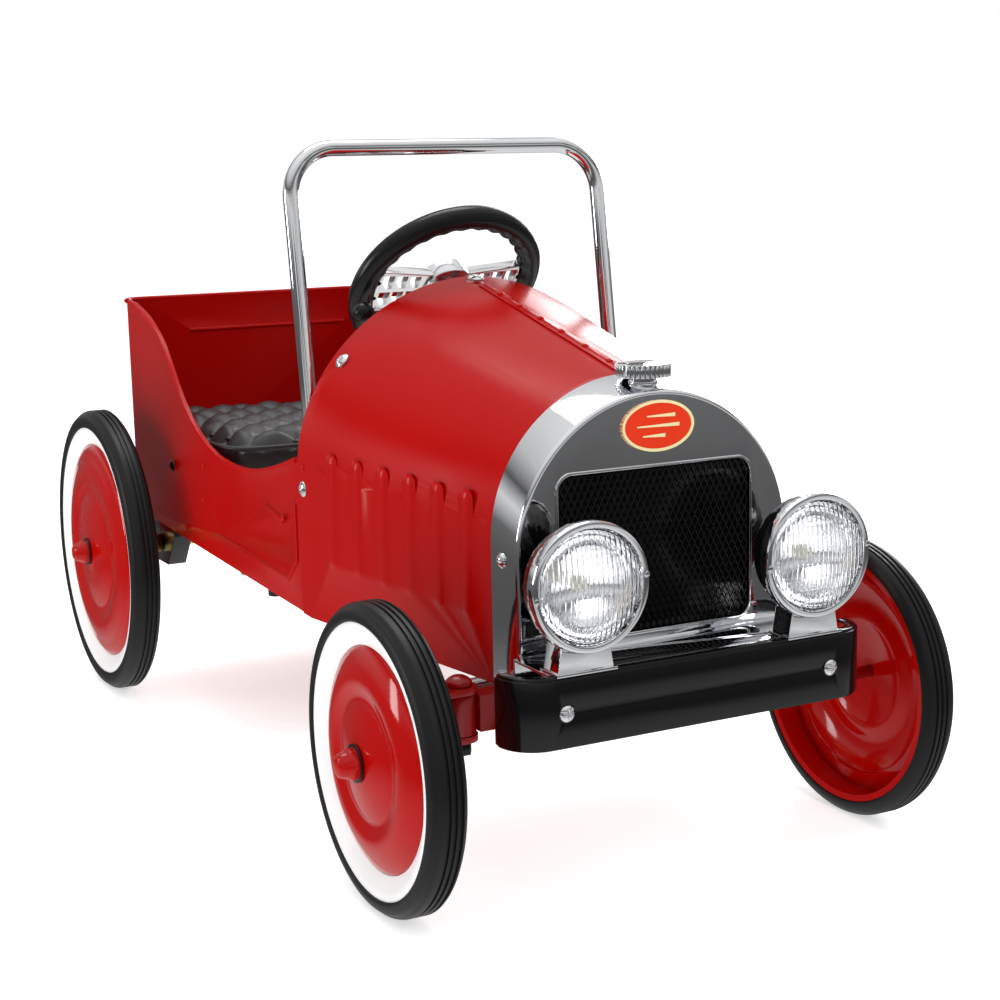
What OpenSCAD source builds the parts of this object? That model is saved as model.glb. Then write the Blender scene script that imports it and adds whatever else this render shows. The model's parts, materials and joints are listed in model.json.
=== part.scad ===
// Child's pedal car: pressed steel body, chrome front, four disc wheels, steered front
// wheels, pedals and a cranked rear axle. Millimetres, +Z up, the car
// drives towards -Y and stands on Z = 0. The driver's left is +X.

/* [Which piece] */
// Name of the piece to draw, or all

/* [Wheels] */
// Front tyre outer radius
front_r = 94; // [85:1:105]
// Rear tyre outer radius
rear_r = 120; // [105:1:130]
// Distance between the front and rear wheel centres
wheelbase = 578; // [520:1:620]
// Half distance between the outer faces of the wheels
track_half = 183; // [175:1:190]
// Tyre width
tyre_w = 22; // [18:1:26]

/* [Body] */
// Half width of the tub
tub_half = 134.5; // [125:0.5:140]
// Height of the back rest above the floor
tub_top = 331; // [300:1:350]
// Sheet thickness of the body
sheet = 1.2; // [0.8:0.1:2]
// Half width of the hood where it meets the radiator
hood_front_half = 94.5; // [85:0.5:100]
// Height of the hood's centre line over the front axle
hood_top_0 = 308.6; // [295:0.1:320]
// Rise of the hood's centre line per millimetre towards the driver
hood_slope = 0.241; // [0.15:0.002:0.3]
// Louvres pressed in each side
louvre_count = 6; // [3:1:7]

/* [Front] */
// Half width of the bumper
bumper_half = 126; // [110:1:132]
// Height of the bumper
bumper_h = 43; // [35:1:50]
// Half distance between the headlamps
lamp_x = 79; // [70:1:85]
// Outer radius of the headlamp rims
lamp_r = 38.2; // [34:0.1:42]
// Radiator cap radius
cap_r = 17; // [14:0.5:20]

/* [Windscreen] */
// Height of the windscreen frame above the floor
screen_top = 457; // [430:1:475]
// Half distance between the frame's legs, on their centre lines
screen_half = 122; // [115:0.5:124]
// Tube diameter of the frame
screen_d = 11; // [9:0.5:13]

/* [Steering] */
// Steering wheel radius, on the rim's centre line
wheel_ring = 65; // [58:0.5:72]
// Steering rim thickness
rim_d = 18; // [15:0.5:20]
// Slope of the steering column below the horizontal
column_angle = 42; // [40:0.5:44]

/* [Drive] */
// Crank radius
crank_r = 30; // [24:1:34]
// Length of the pedal arms between their two pivots
pedal_len = 115; // [105:1:120]

/* [Hidden] */
$fn = 64;
eps = 0.01;
front_ext = 90.2;
yo = (wheelbase + rear_r - front_ext) / 2;
ax_x = 122;                       // kingpin distance from the centre
ay = 35;                          // steering arm length
// steering geometry
col_c = [0, 255, 353];            // centre of the steering wheel
crank_s = 25.9;                   // radius of the crank at the column's foot
rad_y0 = -29;                     // radiator's face and the back of its flange
rad_y1 = 4;
rad_R = 96.2;                     // radius of its arched top
lap = sheet + 0.1;                // how far the cowl laps outside the tub
function zlow(y) = 125.8 + 0.034 * y;
function htop(y) = hood_top_0 + hood_slope * y;
function hhalf(y) = y < 8 ? hood_front_half
    : y < 200 ? hood_front_half + (y - 8) * (tub_half + lap - hood_front_half) / 192
    : tub_half + lap;
function hspring(y) = 214 + 22 * min(1, max(0, y / 205));
function hexp(y) = 2.0 - 0.1 * min(1, max(0, y / 205));

// moves a piece drawn with the front axle at Y = 0 into the car's frame
module F() { translate([0, -yo, 0]) children(); }
// left (+X) and right (-X) copies
module both() { children(); mirror([1, 0, 0]) children(); }
// turns a piece drawn along +Z into one along the wheel axis, outwards at +X
module outx() { rotate([0, 90, 0]) children(); }
module side(s) { if (s > 0) children(); else mirror([1, 0, 0]) children(); }
// places a piece in the steering column's frame: +Z points up the column at the wheel
module col() { translate(col_c) rotate([-(90 - column_angle), 0, 0]) children(); }

// sheet loft: stations of closed outlines with equal point counts
module loft(st) {
    n = len(st[0]);
    m = len(st);
    pts = [for (s = st) for (p = s) p];
    faces = concat(
        [for (j = [0 : m - 2]) for (i = [0 : n - 1]) let (k = (i + 1) % n)
            [j * n + i, j * n + k, (j + 1) * n + k]],
        [for (j = [0 : m - 2]) for (i = [0 : n - 1]) let (k = (i + 1) % n)
            [j * n + i, (j + 1) * n + k, (j + 1) * n + i]]);
    // end caps as strips between the outer and the inner half of the outline
    h = n / 2;
    caps = concat(
        [for (i = [0 : h - 2]) [i + 1, i, n - 1 - i]],
        [for (i = [0 : h - 2]) [i + 1, n - 1 - i, n - 2 - i]],
        [for (i = [0 : h - 2]) let (b = (m - 1) * n) [b + i, b + i + 1, b + n - 1 - i]],
        [for (i = [0 : h - 2]) let (b = (m - 1) * n) [b + i + 1, b + n - 2 - i, b + n - 1 - i]]);
    polyhedron(points = pts, faces = concat(faces, caps), convexity = 6);
}

// half section of the hood (x > 0 side), from the flange over the arch to the seam
arch_n = 36;
function arch(w, zs, zt, e, gap) = [for (i = [0 : arch_n]) let (a = 90 * i / arch_n)
    [max(gap, w * pow(cos(a), 2 / e)), zs + (zt - zs) * pow(sin(a), 2 / e)]];
function hood_half(y, gap = 0.15) = let (w = hhalf(y), z0 = zlow(y), zs = hspring(y),
        zt = htop(y), e = hexp(y), t = sheet,
        o = concat([[w - 9, z0], [w, z0], [w, z0 + 40]], arch(w, zs, zt, e, gap)),
        i = concat([[w - 9, z0 + t], [w - t, z0 + t], [w - t, z0 + 40]],
            arch(w - t, zs, zt - t, e, gap)), n = len(i))
    concat([for (p = o) [p[0], y, p[1]]], [for (k = [n - 1 : -1 : 0]) [i[k][0], y, i[k][1]]]);

// ---------------------------------------------------------------- body
// side-cut curve of the tub, from the back to the cowl
cut = [[606, 330.5], [586, 328.6], [569, 325], [553, 320.5], [539, 315], [521, 306], [506, 295],
    [492, 281.5], [480, 269], [466, 256.5], [450, 245.5], [430, 235], [410, 227.5], [388, 222.5],
    [364, 220.2], [340, 219.8], [318, 221], [298, 223.6], [277, 227.5], [258, 232], [237, 237.5],
    [222, 242]];
function cutd(i) = let (a = cut[max(0, i - 1)], b = cut[min(len(cut) - 1, i + 1)], d = b - a)
    d / norm(d);
cutin = [for (i = [0 : len(cut) - 1]) let (d = cutd(i)) cut[i] + 4 * [-d[1], d[0]]];

module u_plan(w, back, r, h) {
    translate([-w, 209, 0]) cube([2 * w, back - r - 209, h]);
    translate([-w + r, 209, 0]) cube([2 * (w - r), back - 209, h]);
    for (s = [-1, 1]) translate([s * (w - r), back - r, 0]) cylinder(r = r, h = h);
}
module yz(poly, x0, x1) {
    translate([x0, 0, 0]) rotate([90, 0, 90]) linear_extrude(x1 - x0) polygon(poly);
}
module body_tub() color("firebrick") F() {
    w = tub_half;
    back = 626;
    // walls
    intersection() {
        difference() {
            translate([0, 0, 120]) u_plan(w, back, 20, 220);
            translate([0, -eps, 110]) u_plan(w - sheet, back - sheet, 20 - sheet, 240);
            translate([-w + sheet, 200, 110]) cube([2 * (w - sheet), 20, 240]);
        }
        yz(concat([[209, zlow(209) + 1.5], [216, zlow(216) + 1.5], [216, zlow(216)],
            [640, zlow(640)], [640, tub_top], [606, tub_top]], cut,
            [[216, 236], [209, 236]]), -150, 150);
    }
    // turned-in lower flange
    intersection() {
        difference() {
            translate([0, 0, 120]) u_plan(w, back, 20, 60);
            translate([0, -eps, 110]) u_plan(w - 8, back - 8, 12, 80);
            translate([-w + 8, 200, 110]) cube([2 * (w - 8), 20, 80]);
        }
        yz([[216, zlow(216)], [640, zlow(640)], [640, zlow(640) + sheet],
            [216, zlow(216) + sheet]], -150, 150);
    }
    // rolled edge along the side cut and the back
    for (s = [-1, 1]) yz(concat(cut, [for (i = [len(cut) - 1 : -1 : 0]) cutin[i]]),
        s > 0 ? w - 2.6 : -w - 0.8, s > 0 ? w + 0.8 : -w + 2.6);
    translate([-(w - 20), back + 0.4, tub_top - 1.4]) rotate([0, 90, 0])
        cylinder(r = 2, h = 2 * (w - 20));
    for (s = [0, 1]) mirror([s, 0, 0]) translate([w - 20, back - 20, tub_top - 1.4])
        rotate_extrude(angle = 90) translate([20.4, 0]) circle(2);
    // pressed bead across the back rest
    translate([-74, back - sheet - 0.2, 300]) rotate([0, 90, 0]) cylinder(r = 1.8, h = 148);
    // pressed door outline and handle on each side
    both() {
        translate([w - 0.5, 223.5, 168]) cube([1.6, 3, 41]);
        translate([w - 0.5, 0, 0]) yz([[223.5, 168], [243.5, 150.5], [396, 157], [396, 160],
            [244.5, 153.6], [226.5, 169.5]], 0, 1.6);
        translate([w - 0.5, 249, 191.4]) rotate([10.3, 0, 0]) cube([2.4, 34, 3]);
    }
}

module louvres(s) {
    k = (tub_half + lap - hood_front_half) / 192;
    R = 13.6;
    d = 12.2;
    for (i = [0 : louvre_count - 1]) {
        y = 171 - 28 * i;
        z0 = 177.4 - 1.6 * i;
        zt = 243 - 1.2 * i;
        side(s) translate([hhalf(y), y, 0]) rotate([0, 0, -atan(k)]) intersection() {
            union() {
                translate([-d, 0, z0]) cylinder(r = R, h = zt - z0);
                for (z = [z0, zt]) translate([-d, 0, z]) sphere(r = R);
            }
            translate([-0.6, -9, 150]) cube([5, 18, 110]);
        }
    }
}
// the hood's front edge, stepped in to pass under the radiator's flange
function hood_lip(y, gap = 0.15) = let (w = rad_R - 1.8, z0 = zlow(y), t = sheet,
        cz = 206 + 7.6 * (y + 26.4) / 30.4,
        o = concat([[w - 9, z0], [w, z0], [w, z0 + 40]], arch(w, cz, cz + w, 2, gap)),
        i = concat([[w - 9, z0 + t], [w - t, z0 + t], [w - t, z0 + 40]],
            arch(w - t, cz, cz + w - t, 2, gap)), n = len(i))
    concat([for (p = o) [p[0], y, p[1]]], [for (k = [n - 1 : -1 : 0]) [i[k][0], y, i[k][1]]]);
stations = [8, 56, 104, 152, 200, 215];
hood_loft = concat([hood_lip(-2), hood_lip(4.3), hood_half(4.9)],
    [for (y = stations) hood_half(y)]);
module hood_left() color("crimson") F() {
    loft(hood_loft);
    louvres(1);
}
module hood_right() color("crimson") F() {
    mirror([1, 0, 0]) loft(hood_loft);
    louvres(-1);
}
rivet_y = [24, 54, 84, 112, 140, 168];
module hood_seam_strip() color("firebrick") F() {
    a = atan(hood_slope);
    difference() {
        translate([0, 5.6, htop(5.6) + 0.05]) rotate([a, 0, 0]) {
            translate([-4.5, 0, 0]) cube([9, 192, 0.9]);
            intersection() {
                translate([0, 0, 0.4]) rotate([-90, 0, 0]) cylinder(r = 1.2, h = 192);
                translate([-2, 0, 0]) cube([4, 192, 3]);
            }
        }
        for (y = rivet_y) translate([0, y, htop(y) + 0.05]) rotate([a, 0, 0])
            translate([0, 0, 0.91]) cylinder(r = 2.65, h = 4);
    }
}
module dome(r, h) {
    // round rivet or screw head standing on Z = 0
    R = (r * r + h * h) / (2 * h);
    rotate_extrude() intersection() {
        translate([0, h - R]) circle(R);
        square([r, h]);
    }
}
module rivets() color("darkred") F() {
    a = atan(hood_slope);
    for (y = rivet_y) translate([0, y, htop(y) + 0.05]) rotate([a, 0, 0])
        translate([0, 0, 0.92]) dome(2.6, 1.9);
    for (s = [1, -1]) side(s) {
        for (p = [[422, 209], [426, 181], [474, 152], [246, 196]])
            translate([tub_half + (p[1] == 196 ? 1.9 : 0), p[0], p[1]]) outx() dome(2.6, 1.4);
        translate([hhalf(205), 205, 260 - 24]) outx() dome(2.6, 1.4);
    }
}
module pan_head(r = 6.2, shank = 0) {
    difference() {
        union() {
            dome(r, 2.8);
            if (shank > 0) translate([0, 0, -shank]) cylinder(r = 2, h = shank + 0.2);
        }
        translate([-3.2, -0.6, 1.6]) cube([6.4, 1.2, 3]);
        translate([-0.6, -3.2, 1.6]) cube([1.2, 6.4, 3]);
    }
}
// places a piece on the hood's outer face at arch angle a, standing along its normal
module on_arch(y, a) {
    function p(y, a) = [hhalf(y) * pow(cos(a), 2 / hexp(y)), y,
        hspring(y) + (htop(y) - hspring(y)) * pow(sin(a), 2 / hexp(y))];
    n = cross(p(y + 1, a) - p(y - 1, a), p(y, a + 0.5) - p(y, a - 0.5));
    translate(p(y, a)) rotate([0, acos(n[2] / norm(n)), atan2(n[1], n[0])]) children();
}
module screws() color("silver") F() {
    both() {
        // cowl sides, low and high
        translate([hhalf(205), 206, 222]) outx() pan_head();
        on_arch(201, 38) pan_head();
        // radiator flanges
        translate([96.4, -10, 206]) outx() pan_head(4.8);
        // bumper
        translate([93, -80.1, 129.2]) rotate([90, 0, 0]) pan_head(5.6, 6);
    }
    // top of the cowl
    translate([0, 205.5, htop(205.5) + 1.2]) rotate([atan(hood_slope), 0, 0]) pan_head(6.2);
}
module black_bolts() color("#202020") F() {
    both() {
        translate([tub_half, 503, 199]) outx() dome(5.2, 2.6);
        // under the tub's lower flange
        translate([120, 309, zlow(309) - 10.8]) cylinder(r = 6.4, h = 8.8);
        translate([120, 309, zlow(309) - 2.3]) cylinder(r = 8.5, h = 1.8);
    }
}

// ---------------------------------------------------------------- front
// rounding of the radiator's front edge: back face of each step, its inset and its depth
rad_edge = [[-26, -0.25, 0.9], [-26.6, 0.3, 0.9], [-27.2, 1, 0.9], [-27.8, 2.2, 1.2]];
function rad_sec(y, r, cz, t) = concat(
    [[r, y, 127 + 0.034 * y]], [for (i = [0 : 72]) let (a = 2.5 * i) [r * cos(a), y, cz + r * sin(a)]],
    [[-r, y, 127 + 0.034 * y]],
    [[-(r - t), y, 127 + 0.034 * y]],
    [for (i = [72 : -1 : 0]) let (a = 2.5 * i) [(r - t) * cos(a), y, cz + (r - t) * sin(a)]],
    [[r - t, y, 127 + 0.034 * y]]);
module grille_hole(x, z0, z1, r) {
    translate([-x, 0, z0 + r]) cube([2 * x, 20, z1 - z0 - 2 * r]);
    translate([-x + r, 0, z0]) cube([2 * (x - r), 20, z1 - z0]);
    for (a = [-1, 1], z = [z0 + r, z1 - r]) translate([a * (x - r), 0, z]) rotate([-90, 0, 0])
        cylinder(r = r, h = 20);
}
module radiator_shell() color("#b9bcc2") F() {
    loft([rad_sec(-26.4, rad_R, 206, 1.4), rad_sec(rad_y1, rad_R, 213.6, 1.4)]);
    // rounded front edge and face
    difference() {
        union() {
            for (e = rad_edge) {
                translate([0, e[0], 206]) rotate([90, 0, 0]) cylinder(r = rad_R - e[1], h = e[2]);
                translate([-rad_R + e[1], e[0] - e[2], 126]) cube([2 * (rad_R - e[1]), e[2], 80]);
            }
        }
        translate([0, -35, 0]) grille_hole(68, 156, 256, 9);
        translate([-120, -40, 60]) cube([240, 30, 66.2]);
    }
    // raised rim round the grille
    difference() {
        translate([0, -29.8, 0]) intersection() {
            grille_hole(70.2, 153.8, 258.2, 11);
            translate([-100, 0, 100]) cube([200, 1.6, 200]);
        }
        translate([0, -35, 0]) grille_hole(68, 156, 256, 9);
    }
    // filler neck
    translate([0, -15, 300]) {
        cylinder(r = 8.2, h = 9.2);
        translate([0, 0, 2.5]) cylinder(r1 = 12, r2 = 8.2, h = 4);
    }
}
module grille_mesh() color("#151515") F() {
    translate([-72, -25.8, 152]) cube([144, 1.4, 108]);
    translate([0, -28.2, 0]) intersection() {
        grille_hole(67.8, 156.2, 255.8, 8.8);
        translate([-68, 0.8, 150]) cube([136, 1.8, 110]);
    }
    intersection() {
        translate([0, -28.2, 0]) grille_hole(67.8, 156.2, 255.8, 8.8);
        translate([-68, -28.2, 150]) cube([136, 3, 110]);
        union() for (i = [-9 : 9]) {
            translate([i * 14, -27.6, 206]) rotate([0, 28, 0]) cube([1.4, 1.2, 260], center = true);
        }
    }
}
function oval(a, b, n) = [for (i = [0 : n - 1]) [a * cos(360 * i / n), b * sin(360 * i / n)]];
module badge() color("#d9401e") F() translate([1, -29, 281]) rotate([90, 0, 0]) {
    linear_extrude(1.2) polygon(oval(25.5, 15.6, 72));
    difference() {
        linear_extrude(1.8) polygon(oval(25.5, 15.6, 72));
        translate([0, 0, 1.2]) linear_extrude(2) polygon(oval(23.6, 13.8, 72));
    }
}
module radiator_cap() color("silver") F() translate([0, -15, 309.5]) {
    n = 32;
    linear_extrude(8) polygon([for (i = [0 : 4 * n - 1]) let (a = 360 * i / (4 * n),
        r = (i % 4 < 2) ? cap_r : cap_r - 1.3) [r * cos(a), r * sin(a)]]);
    translate([0, 0, 8]) dome(cap_r - 2, 1.6);
}
module lamp_at(s) { translate([s * lamp_x, -84, 202]) rotate([90, 0, 0]) children(); }
module lamp_shell(s) lamp_at(s) rotate_extrude() polygon([[0, -36.5], [8, -36.2], [16, -34],
    [23, -30], [29, -24.5], [33.4, -17.5], [35.6, -10], [36.2, -4.2], [34.8, -4.2], [34.2, -10],
    [32, -16.8], [27.8, -23.4], [22.2, -28.6], [15.4, -32.4], [8, -34.4], [0, -34.8]]);
module headlamp_shell_left() color("#1a1a1a") F() lamp_shell(1);
module headlamp_shell_right() color("#1a1a1a") F() lamp_shell(-1);
module lamp_rim(s) lamp_at(s) {
    rotate_extrude() polygon([[34.2, 2.2], [36, 2.8], [37.6, 2.2], [lamp_r, 0.6], [lamp_r, -5],
        [37.4, -6.2], [36.4, -6.2], [36.4, -3.9], [34.6, -3.9], [34.2, -3]]);
    for (a = [186, 6]) rotate([0, 0, a]) translate([36.2, 0, 2.5]) cylinder(r = 1.5, h = 0.9);
}
module headlamp_rim_left() color("silver") F() lamp_rim(1);
module headlamp_rim_right() color("silver") F() lamp_rim(-1);
module lamp_lens(s) lamp_at(s) rotate_extrude() polygon([[0, 6.2], [8, 5.9], [16, 5.1], [23, 3.9],
    [29, 2.4], [33.9, 0.6], [34, -2.4], [33, -2.4], [28, -0.4], [22, 1.2], [15, 2.5], [8, 3.2],
    [0, 3.5]]);
module headlamp_lens_left() color("#dfe8ee") F() lamp_lens(1);
module headlamp_lens_right() color("#dfe8ee") F() lamp_lens(-1);
module lamp_bracket(s) difference() {
    union() {
        translate([s * (lamp_x + 1), -63, 0]) rotate([90, 0, 0]) linear_extrude(17)
            polygon([[-18.4, 152.4], [18.4, 152.4], [14.4, 176], [-14.4, 176]]);
        translate([s * (lamp_x + 1) - 20, -82, 151.1]) cube([40, 20.5, 1.9]);
    }
    lamp_at(s) translate([0, 0, -45]) cylinder(r = 36.25, h = 60);
    lamp_at(s) translate([0, 0, -6.4]) cylinder(r = lamp_r + 0.05, h = 20);
}
module headlamp_bracket_left() color("silver") F() lamp_bracket(1);
module headlamp_bracket_right() color("silver") F() lamp_bracket(-1);
bz0 = 108;
// bumper's outline from above, inset by o and cut off square at its back
module bump_plan(o, h, back = 0) {
    b = bumper_half - o;
    r = 24 - o;
    intersection() {
        union() {
            translate([-b + r, -80 + o, 0]) cube([2 * (b - r), 60, h]);
            translate([-b, -80 + o + r, 0]) cube([2 * b, 60, h]);
            for (s = [-1, 1]) translate([s * (b - r), -80 + o + r, 0]) cylinder(r = r, h = h);
        }
        translate([-bumper_half - 1, -90, -1]) cube([2 * bumper_half + 2, 36 + back, h + 2]);
    }
}
module bumper() color("#101010") F() difference() {
    union() {
        translate([0, 0, bz0 + 1.5]) bump_plan(0, bumper_h - 3);
        translate([0, 0, bz0]) bump_plan(1.4, bumper_h);
    }
    translate([0, 0, bz0 + 2]) bump_plan(2.2, bumper_h - 4, 20);
    translate([0, 0, bz0 - 1]) bump_plan(7.5, bumper_h + 2, 20);
    for (s = [-1, 1]) translate([s * 93, -70, 129.2]) rotate([90, 0, 0]) cylinder(r = 2.2, h = 20);
}
module bumper_shelf() color("#c9ccd1") F() {
    difference() {
        union() {
            translate([-100, -72.3, bz0 + bumper_h - 2]) cube([200, 43.1, 1.6]);
            translate([-100, -30.8, 130]) cube([200, 1.6, 20]);
            for (s = [-1, 1]) translate([s * 90.5 - 11.5, -77.7, 114]) cube([23, 1.6, 34.6]);
            for (s = [-1, 1]) translate([s * 90.5 - 11.5, -77.7, 147]) cube([23, 8, 1.9]);
            translate([-107, -72.3, 147]) cube([214, 4, 1.9]);
        }
        for (s = [-1, 1]) {
            translate([s * 62, -57, 140]) cylinder(r = 2, h = 20);
            translate([s * 93, -70, 129.2]) rotate([90, 0, 0]) cylinder(r = 2.2, h = 20);
        }
    }
}

// ---------------------------------------------------------------- windscreen
module windscreen_frame() color("silver") F() {
    rake = 7.8;
    r = screen_d / 2;
    R = 34;
    h = screen_half;
    // local frame: foot of the legs at z = 0, leaning back
    translate([0, 215.5, 222]) rotate([-rake, 0, 0]) {
        top = (screen_top - r - 222) / cos(rake);
        for (s = [-1, 1]) {
            translate([s * h, 0, 38]) cylinder(r = r, h = top - R - 38);
            // flattened foot
            translate([s * h, 0, -14]) scale([0.62, 1.28, 1]) cylinder(r = r, h = 40);
            hull() {
                translate([s * h, 0, 26]) scale([0.62, 1.28, 1]) cylinder(r = r, h = 0.2, $fn = 32);
                translate([s * h, 0, 38.2]) cylinder(r = r - 0.02, h = 0.2, $fn = 32);
            }
        }
        translate([-(h - R), 0, top]) rotate([0, 90, 0]) cylinder(r = r, h = 2 * (h - R));
        for (s = [0, 1]) mirror([s, 0, 0]) translate([h - R, 0, top - R]) rotate([90, 0, 0])
            rotate_extrude(angle = 90) translate([R, 0]) circle(r = r);
    }
    // spacers between the feet and the tub
    for (s = [-1, 1]) translate([s * (h + 3.2), 207.6, 222]) rotate([0, s * 90, 0])
        cylinder(r = 4, h = tub_half - sheet - h - 3.3);
}

// ---------------------------------------------------------------- seat and braces
module seat_pan() color("#8c1010") F() {
    w = tub_half - sheet - 0.1;
    translate([-w, 392, 194]) cube([2 * w, 210, 1.5]);
    translate([-w + 20, 392, 194]) cube([2 * w - 40, 232.6, 1.5]);
    translate([-w, 392, 172]) cube([2 * w, 1.5, 22]);
    for (s = [-1, 1]) translate([s > 0 ? w - 1.5 : -w, 392, 180]) cube([1.5, 200, 14]);
}
module seat_cushion() color("#2a2a2c") F() {
    w = 126;
    y0 = 380;
    y1 = 616;
    r = 22;
    translate([0, 0, 196]) {
        translate([-w + r, y0, 0]) cube([2 * (w - r), y1 - y0, 40]);
        translate([-w, y0 + r, 0]) cube([2 * w, y1 - y0 - 2 * r, 40]);
        for (s = [-1, 1], y = [y0 + r, y1 - r]) translate([s * (w - r), y, 0])
            cylinder(r = r, h = 40);
    }
}
module dash_brace() color("#7d0f0f") F() {
    y = 198;
    g = 0.4 + sheet;
    a = [for (p = arch(hhalf(y) - g, hspring(y), htop(y) - g - 0.6, hexp(y), 0)) p];
    up = [for (p = a) if (p[1] > 282) p];
    difference() {
        union() {
            translate([0, y, 0]) rotate([90, 0, 0]) linear_extrude(2) polygon(concat(
                [[up[0][0], 282]], up, [for (i = [len(up) - 2 : -1 : 0]) [-up[i][0], up[i][1]]],
                [[-up[0][0], 282]]));
            col() translate([0, 0, -86]) cylinder(r = 9, h = 20);
        }
        col() translate([0, 0, -120]) cylinder(r = 5.05, h = 100);
    }
}

// ---------------------------------------------------------------- front axle
module front_axle() color("#9c1212") F() {
    difference() {
        union() {
            translate([-113, -10, 103]) cube([226, 20, 22.4]);
            both() translate([ax_x, 0, 101.5]) cylinder(r = 10, h = 25);
        }
        translate([-104, -8, 101]) cube([208, 16, 22.4]);
        both() translate([ax_x, 0, 90]) cylinder(r = 4, h = 60);
    }
    // column foot bearing: cheeks, cross plate and tube
    difference() {
        union() {
            both() translate([0, 0, 0]) yz([[-8, 125], [8, 125], [14, 133], [31.5, 146.5],
                [26, 156], [15, 148], [-8, 133]], 15.5, 18);
            col() translate([-18, -9, -312.5]) cube([36, 18, 3]);
            col() translate([0, 0, -312.5]) cylinder(r = 8.5, h = 16);
        }
        col() translate([0, 0, -330]) cylinder(r = 5.05, h = 60);
    }
}
module kingpins() color("#8e1111") F() both() translate([ax_x, 0, 0]) {
    translate([0, 0, 90]) cylinder(r = 4, h = 42);
    translate([0, 0, 131.1]) cylinder(r = 8.2, h = 2.6);
    translate([0, 0, 133.7]) dome(8.2, 4);
    translate([0, 0, 88.6]) cylinder(r = 7.6, h = 8.2, $fn = 6);
}
module knuckle(s) side(s) difference() {
    union() {
        // ears
        for (z = [97.1, 126.8]) hull_ear(z);
        // web and boss
        translate([134, -11, 85]) cube([5, 22, 46]);
        translate([136, 0, front_r]) outx() cylinder(r = 9, h = 13.6);
        // stub axle
        translate([136, 0, front_r]) outx() cylinder(r = 4, h = track_half + 9.6 - 136);
        // steering arm
        difference() {
            union() {
                translate([ax_x, ay, 113.2]) cylinder(r = 7.5, h = 4);
                translate([0, 0, 113.2]) linear_extrude(4) polygon([[ax_x - 6, ay - 4], [133, 5],
                    [139, 5], [139, 13], [ax_x + 6.5, ay + 3]]);
            }
            translate([ax_x, 0, 100]) cylinder(r = 10.9, h = 30);
        }
    }
    translate([ax_x, 0, 80]) cylinder(r = 4.05, h = 60);
    translate([ax_x, ay, 100]) cylinder(r = 3.05, h = 30);
}
module hull_ear(z) {
    translate([ax_x, 0, z]) cylinder(r = 11, h = 4);
    translate([ax_x, -11, z]) cube([14, 22, 4]);
}
module knuckle_left() color("#9c1212") F() knuckle(1);
module knuckle_right() color("#9c1212") F() knuckle(-1);
module tie_rod() color("#b5b5b5") F() {
    difference() {
        union() {
            translate([-ax_x, ay - 6, 117.6]) cube([2 * ax_x, 12, 4]);
            translate([-14, ay - 17, 117.6]) cube([28, 34, 4]);
            both() translate([ax_x, ay, 117.6]) cylinder(r = 7.5, h = 4);
        }
        translate([-5.3, ay - 12, 110]) cube([10.6, 24, 20]);
    }
    // pins in the steering arms
    both() translate([ax_x, ay, 0]) {
        translate([0, 0, 111]) cylinder(r = 3, h = 11);
        translate([0, 0, 121.6]) cylinder(r = 5, h = 2.4);
        translate([0, 0, 110]) cylinder(r = 5, h = 2.9);
    }
}

// ---------------------------------------------------------------- steering
module steering_column() color("#c8c8c8") F() {
    col() {
        translate([0, 0, -319.3]) cylinder(r = 5, h = 321);
        // crank at the foot, ending in a ball that moves the tie rod
        translate([0, 0, -319.3]) rotate([90, 0, 0]) cylinder(r = 3.8, h = crank_s);
        translate([0, 0, -319.3]) sphere(r = 5);
        translate([0, -crank_s, -319.3]) sphere(r = 4.6);
        // stop collars
        translate([0, 0, -294]) cylinder(r = 8, h = 6);
    }
}
module steering_rim() color("#141414") F() col() {
    rotate_extrude($fn = 96) translate([wheel_ring, 0]) circle(r = rim_d / 2, $fn = 48);
    grips(0);
}
// finger grips inside the rim
module grips(o) {
    for (i = [0 : 23]) rotate([0, 0, 15 * i + 7.5]) translate([wheel_ring - rim_d / 2 + 0.6, 0, -1])
        cylinder(r = 1.9 + o, h = 8 + 2 * o, center = true);
}
module steering_spokes() color("silver") F() col() {
    difference() {
        union() {
            translate([0, 0, -6]) cylinder(r = 20, h = 12);
            translate([0, 0, 6]) dome(16, 5);
            for (s = [0, 1]) mirror([s, 0, 0]) translate([0, 0, -3.5]) linear_extrude(7)
                polygon([[10, -13], [60, -19], [60, 19], [10, 13]]);
            translate([0, 0, -14]) cylinder(r = 9, h = 10);
        }
        for (s = [0, 1]) mirror([s, 0, 0]) for (i = [0 : 2], j = [0, 1])
            translate([23.5 + i * 10.6, j == 0 ? -12.5 - i * 0.9 : 1.6, -10])
                cube([8.4, 10.9 + i * 0.9, 20]);
        translate([0, 0, -20]) cylinder(r = 5.02, h = 22);
        // the rim's own ring and its grips
        rotate_extrude($fn = 96) translate([wheel_ring, 0]) circle(r = rim_d / 2 + 0.01, $fn = 48);
        grips(0.05);
    }
}
lever_z = -23.6;                  // how far down the column the hand lever is clamped
module column_lever() color("silver") F() col() translate([0, 0, lever_z]) {
    difference() {
        translate([0, 0, -5]) cylinder(r = 9.5, h = 10);
        translate([0, 0, -14]) cylinder(r = 5.05, h = 30);
    }
    translate([-64.6, 0, 0]) outx() cylinder(r = 2, h = 56.5);
    translate([-66, 0, 0]) outx() cylinder(r = 4, h = 5);
    // ball knob
    translate([-72.5, 0, 0]) outx() sphere(r = 7.6);
}
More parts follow.
